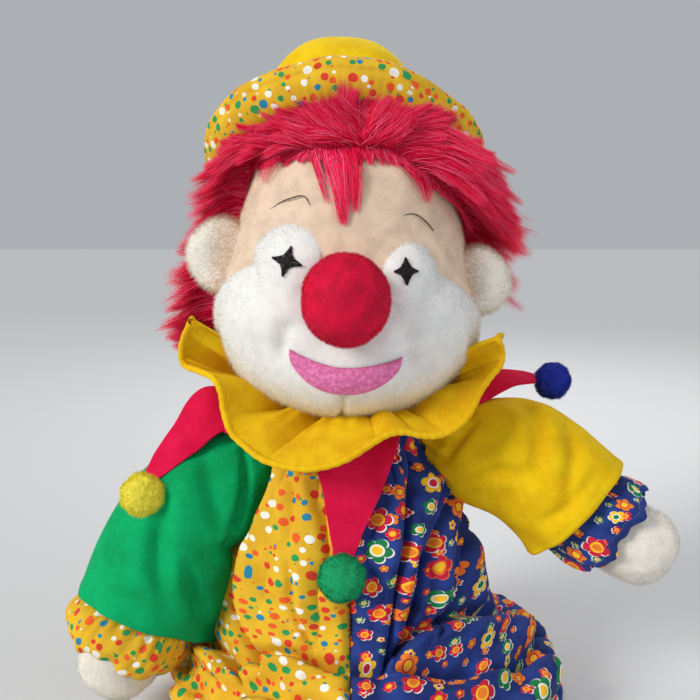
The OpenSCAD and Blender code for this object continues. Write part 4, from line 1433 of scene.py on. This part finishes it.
def sleeve_grid(side, m=170, n=200):
    """Padded sleeve from inside the shoulder to its turned-in end, with creases."""
    k = SLEEVE[side]
    t = np.linspace(-0.12, 1, m)[:, None]
    ph = circle(n)[None]
    wide, deep = curve(k["t"], k["wide"], t), curve(k["t"], k["deep"], t)
    wide = wide + k["flare"] * np.clip(t, 0, 1) ** 3 * np.clip(np.cos(ph), 0, 1)
    if side < 0:
        wide = wide + (4 * bell(t - 0.3, 0.1) - 8 * bell(t - 0.52, 0.075)) * np.clip(np.cos(ph), 0, 1) ** 2
        wide = wide - 5.5 * np.clip(t, 0, 1) ** 2 * np.clip(-np.cos(ph), 0, 1)
    along = SLEEVE_L[side] * t * (1 + k["skew"] * np.clip(t, 0, 1) ** 2 * np.cos(ph))
    if side > 0:
        along = along + 17 * ease((0.35 - t) / 0.45) * np.clip(np.cos(ph), 0, 1)
    off = -k["bow"] * np.sin(math.pi * np.clip(t, 0, 1)) ** 1.1
    P = in_arm(side, pts(off + wide * np.cos(ph), deep * np.sin(ph), along))
    centre = in_arm(side, pts(off + 0 * ph, 0 * ph, t * SLEEVE_L[side] + 0 * ph))
    N = outwards(grid_normals(P, True), P - centre)
    body = np.sin(math.pi * np.clip(t, 0, 1)) ** 0.5
    d = body * (2.0 * noise(P, 40, 81 + side, 2) + 0.5 * np.sin(5 * ph + 9 * t))
    d = d + (1.2 * np.sin(4 * ph + 1) + 0.6 * np.sin(9 * ph)) * ease((t - 0.7) / 0.3)
    d = d + 0.8 * bell(t - 0.985, 0.02)
    d = d + 1.4 * np.sin(15 * ph + np.sin(3 * ph)) * ease((0.16 - t) / 0.16)
    d = d - 1.4 * bell((ph - (0.2 if side < 0 else 0.3)) * wide, 2.0)
    front = ease((SHOULDER[side][1] - 8 - P[..., 1]) / 14)
    at = seen(P)
    for line, width, depth in SLEEVE_FOLDS[side]:
        d = d + front * crease(at, line, width, depth)
    P = P + N * d[..., None]
    axis = ARM_R[side][:, 2]
    end, mid = P[-1], centre[-1].mean(0)
    rows = []
    for q in np.linspace(0, 1, 9)[1:]:
        shrink = lerp(1.0, 0.84 if side < 0 else 0.7, ease(q))
        out = 1.6 * math.sin(math.pi * min(q * 1.5, 1)) - 8 * q**2
        rows.append(mid + (end - mid) * shrink + axis * out)
    return np.concatenate([P, np.array(rows)])


CUFF_ROWS, CUFF_HEM = 70, 0.86


def cuff_grid(side, m=CUFF_ROWS, n=320):
    """Printed cuff: gathered on elastic where the sleeve ends, then a soft frill with a turned hem."""
    L = SLEEVE_L[side]
    t = np.linspace(0, 1, m)[:, None]
    ph = circle(n)[None]
    wide = [31, 32, 36.5, 39, 35.5, 31] if side < 0 else [27, 27.5, 30, 32.5, 32, 30]
    r = curve([0, 0.1, 0.3, 0.62, 0.9, 1.0], wide, t) + 0 * ph
    gather = np.sin(30 * ph + 2.4 * np.sin(5 * ph) + 1.2 * t)
    gather = np.sign(gather) * np.abs(gather) ** 0.8
    r = r + 1.5 * gather * np.exp(-2.2 * t) + 1.9 * np.sin(6 * ph + side + 1.5 * t) * t
    r = r + 1.5 * np.sin(11 * ph + 2 * np.sin(2 * ph)) * t * (1.2 - t)
    r = r + 0.7 * noise(pts(30 * np.cos(ph), 30 * np.sin(ph), t * 34), 9, 91) - 0.6 * bell(t - CUFF_HEM, 0.03)
    z = (L - 6) * (1 + SLEEVE[side]["skew"] * 0.8 * np.cos(ph) * (1 - 0.5 * t)) + 37 * t
    z = z + (2.2 * np.sin(5 * ph + 1) + 1.2 * np.sin(13 * ph)) * t**2
    P = in_arm(side, pts(r * np.cos(ph) + (3 if side < 0 else 0), r * 0.94 * np.sin(ph), z))
    full = np.linspace(0, 2 * math.pi, n + 1)[None]
    return P, pts(full * 37 + 0 * t + 800 * (side + 2), t * 34 + 0 * full)


def mitt_grid(side, m=90, n=120):
    """Mitt: a stuffed paw, a little flat, broad at the end, with a seam round its edge."""
    L = ARM_L[side]
    s = np.linspace(0, 1, m)[:, None]
    ph = circle(n)[None]
    z = L + 2 + (57 if side < 0 else 60) * np.sin(s * math.pi / 2) ** 1.15
    far = np.clip((z - (z.max() - 23.6)) / 23.6, 0, 1)
    near = 22.5 + 1.5 * ease((z - L - 2) / 34)
    r = near * np.sqrt(np.clip(1 - far**2.1, 0, 1))
    P = pts(r * 1.04 * np.cos(ph), r * 0.92 * np.sin(ph), z + 0 * ph)
    P = P + unit(P - np.array([0, 0, L + 30])) * (1.3 * noise(P, 17, 95 + side, 2))[..., None]
    rim = np.minimum(np.abs(np.sin(ph)) * r, 9)
    P = P - unit(P * np.array([1, 1, 0])) * (0.9 * bell(rim, 1.5))[..., None]
    P = P + np.array([10 if side < 0 else 2, 0, 0])
    return in_arm(side, P)


DRESS = {-1: (green_mat, "green_fleece", dot_mat, "dotted_cotton"),
         1: (sleeve_mat, "yellow_fleece", flower_mat, "flowered_cotton")}
for side, (sleeve, sleeve_slot, print_mat, print_slot) in DRESS.items():
    word = WORD[side]
    arm, hand = f"{word}_arm", f"{word}_hand"
    o = surface(f"{word}_sleeve_cover", sleeve_grid(side), wrap=True)
    finer(give(o, sleeve, sleeve_slot, arm, f"{word}_sleeve", f"{word}_arm_stuffing"))
    P, uv = cuff_grid(side)
    o = surface(f"{word}_cuff_frill", P, uv, wrap=True)
    solid(o, 0.8, 1)
    give(o, print_mat, print_slot, arm, f"{word}_cuff")
    middle = in_arm(side, (0, 0, SLEEVE_L[side] + 25))
    row = P[int(CUFF_HEM * (CUFF_ROWS - 1))]
    row = np.concatenate([row, row[:1]])
    dashes = [dash(row[k], lerp(row[k], row[k + 3], 0.66), unit(row[k] - middle), 0, 1.15)
              for k in range(0, len(row) - 3, 3)]
    give(tube_mesh(f"{word}_cuff_stitches", dashes, 0.22, 5), stitch_mat, "embroidery", arm)
    P = mitt_grid(side)
    o = surface(f"{word}_paw", P, wrap=True)
    give(o, cream_mat, "cream_plush", hand, f"{word}_mitt", f"{word}_mitt_stuffing")
    p, n = scatter(P, 20000, rng, wrap=True, outward=in_arm(side, (0, 0, ARM_L[side] + 30)))
    fibres(f"{word}_paw_pile", p, n, 2.6, 0.3, pile_flow(p, n, -0.2), CREAM_PILE, "cream_plush", hand, rng)

# ---- jester points and pompoms
def felt_blade(word, middle, across, half, drape, seed):
    """A felt point: middle is its centreline, across its width's direction, half its half widths."""
    m, n = 80, 50
    t = np.linspace(0, 1, m)
    C = spline(middle, t)
    A = unit(np.broadcast_to(across, (m, 3)))
    tangent = unit(np.gradient(C, axis=0))
    A = unit(A - (A * tangent).sum(1, keepdims=True) * tangent)
    N = outwards(unit(np.cross(tangent, A)), C - np.array([0, 0, 160]))
    w = curve(np.linspace(0, 1, len(half)), half, t)
    x = np.linspace(-1, 1, n)
    sag = -drape * x[None] ** 2 * (w / max(half))[:, None]
    P = C[:, None] + A[:, None] * (x[None, :, None] * w[:, None, None]) + N[:, None] * sag[..., None]
    P = P + N[:, None] * (0.7 * noise(P, 15, seed, 2))[..., None]
    uv = pts(x[None] * w[:, None], (t * 70)[:, None] + 0 * x[None])
    o = surface(f"{word}_felt", P, uv)
    solid(o, 1.7, 0)
    finer(give(o, red_mat, "red_felt", f"{word}_point", f"{word}_point"))


def pompom(word, centre, radius, colour, slot, seed):
    """Wool pompom: clumps of cut yarn round a core, and loose fibre over them."""
    name, body, centre = f"{word}_wool", f"{word}_point", np.array(centre)
    r = np.random.default_rng(seed)
    t = np.linspace(0.001, math.pi - 0.001, 60)[:, None]
    a = circle(90)[None]
    d = pts(np.sin(t) * np.cos(a), np.sin(t) * np.sin(a), np.cos(t) + 0 * a)
    lump = noise(d * radius, 4.2, seed, 2)
    ball = d * (radius * 0.93 + 0.8 * lump)[..., None]
    m = plush(f"{name}_wool", colour, tone(colour, 0.75), 0.1)
    o = surface(name, ball + centre, wrap=True)
    give(o, m, slot, body, f"{word}_pompom")
    p, n = scatter(ball + centre, int(9000 * (radius / 12) ** 2), r, wrap=True, outward=centre)
    clump = noise3(p - centre, 3.6, seed + 4, seed + 5, seed + 6)
    fibres(f"{name}_tufts", p, n, radius * 0.15, 0.42, 0.6 * clump,
           pile(name, colour, (0.82, 1.0, 1.18)), slot, body, r, 0.4, 0.8, 0.9)


POINTS = [
    # word, centreline, across, half widths, drape; the pompom's centre, radius, colour and slot
    ("front", [(2, -46, 196), (2, -65, 187), (1, -75, 167), (-2, -77, 143), (-4, -76, 119)], (1, 0, 0.06),
     [31, 26, 19, 11.5, 4.5], 3.0, (-5, -85, 112.5), 14.5, (0.01, 0.38, 0.14), "green_wool"),
    ("back", [(0, 46, 196), (0, 64, 188), (0, 73, 167), (0, 76, 143), (0, 74, 120)], (1, 0, 0),
     [31, 26, 19, 11.5, 4.5], 3.0, (0, 78, 112), 14, (0.9, 0.22, 0.01), "orange_wool"),
    ("right", [(-56, -18, 198), (-87, -31, 207), (-107, -41, 188), (-121, -48, 173), (-129, -50, 163)],
     (0.47, -0.72, -0.53), [27, 21, 14, 8.5, 4], 5.0, (-129.5, -58, 156.5), 13.8, (1.0, 0.84, 0.07),
     "yellow_wool"),
    ("left", [(62, -4, 206), (84, -4, 215), (106, -2, 220), (124, 0, 219)], (0, 0.94, 0.34),
     [23, 19, 11, 4.5], 2.0, (135.8, 1, 217), 12.3, (0.015, 0.035, 0.42), "blue_wool"),
]
for k, (word, middle, across, half, drape, centre, radius, colour, slot_name) in enumerate(POINTS):
    felt_blade(word, middle, across, half, drape, 101 + 2 * k)
    pompom(word, centre, radius, colour, slot_name, 102 + 2 * k)

# ---- carried CAD nodes
for node_name, mat in (("finger_tube", yellow_mat), ("neck_lining", yellow_mat), ("neck_band", red_mat),
                       ("right_cuff_elastic", elastic_mat), ("left_cuff_elastic", elastic_mat)):
    data = frame["nodes"][node_name].data
    data.materials.clear()
    data.materials.append(mat)

# ---- floor
me = bpy.data.meshes.new("floor")
me.from_pydata([(-4, -4, 0), (4, -4, 0), (4, 4, 0), (-4, 4, 0)], [], [(0, 1, 2, 3)])
floor = bpy.data.objects.new("floor", me)
scene.collection.objects.link(floor)
m = Nodes("floor")
me.materials.append(m.finish(srgb(214, 215, 216), 0.7, m.noise(m.place(), 0.01), 0.0003, 0.2))
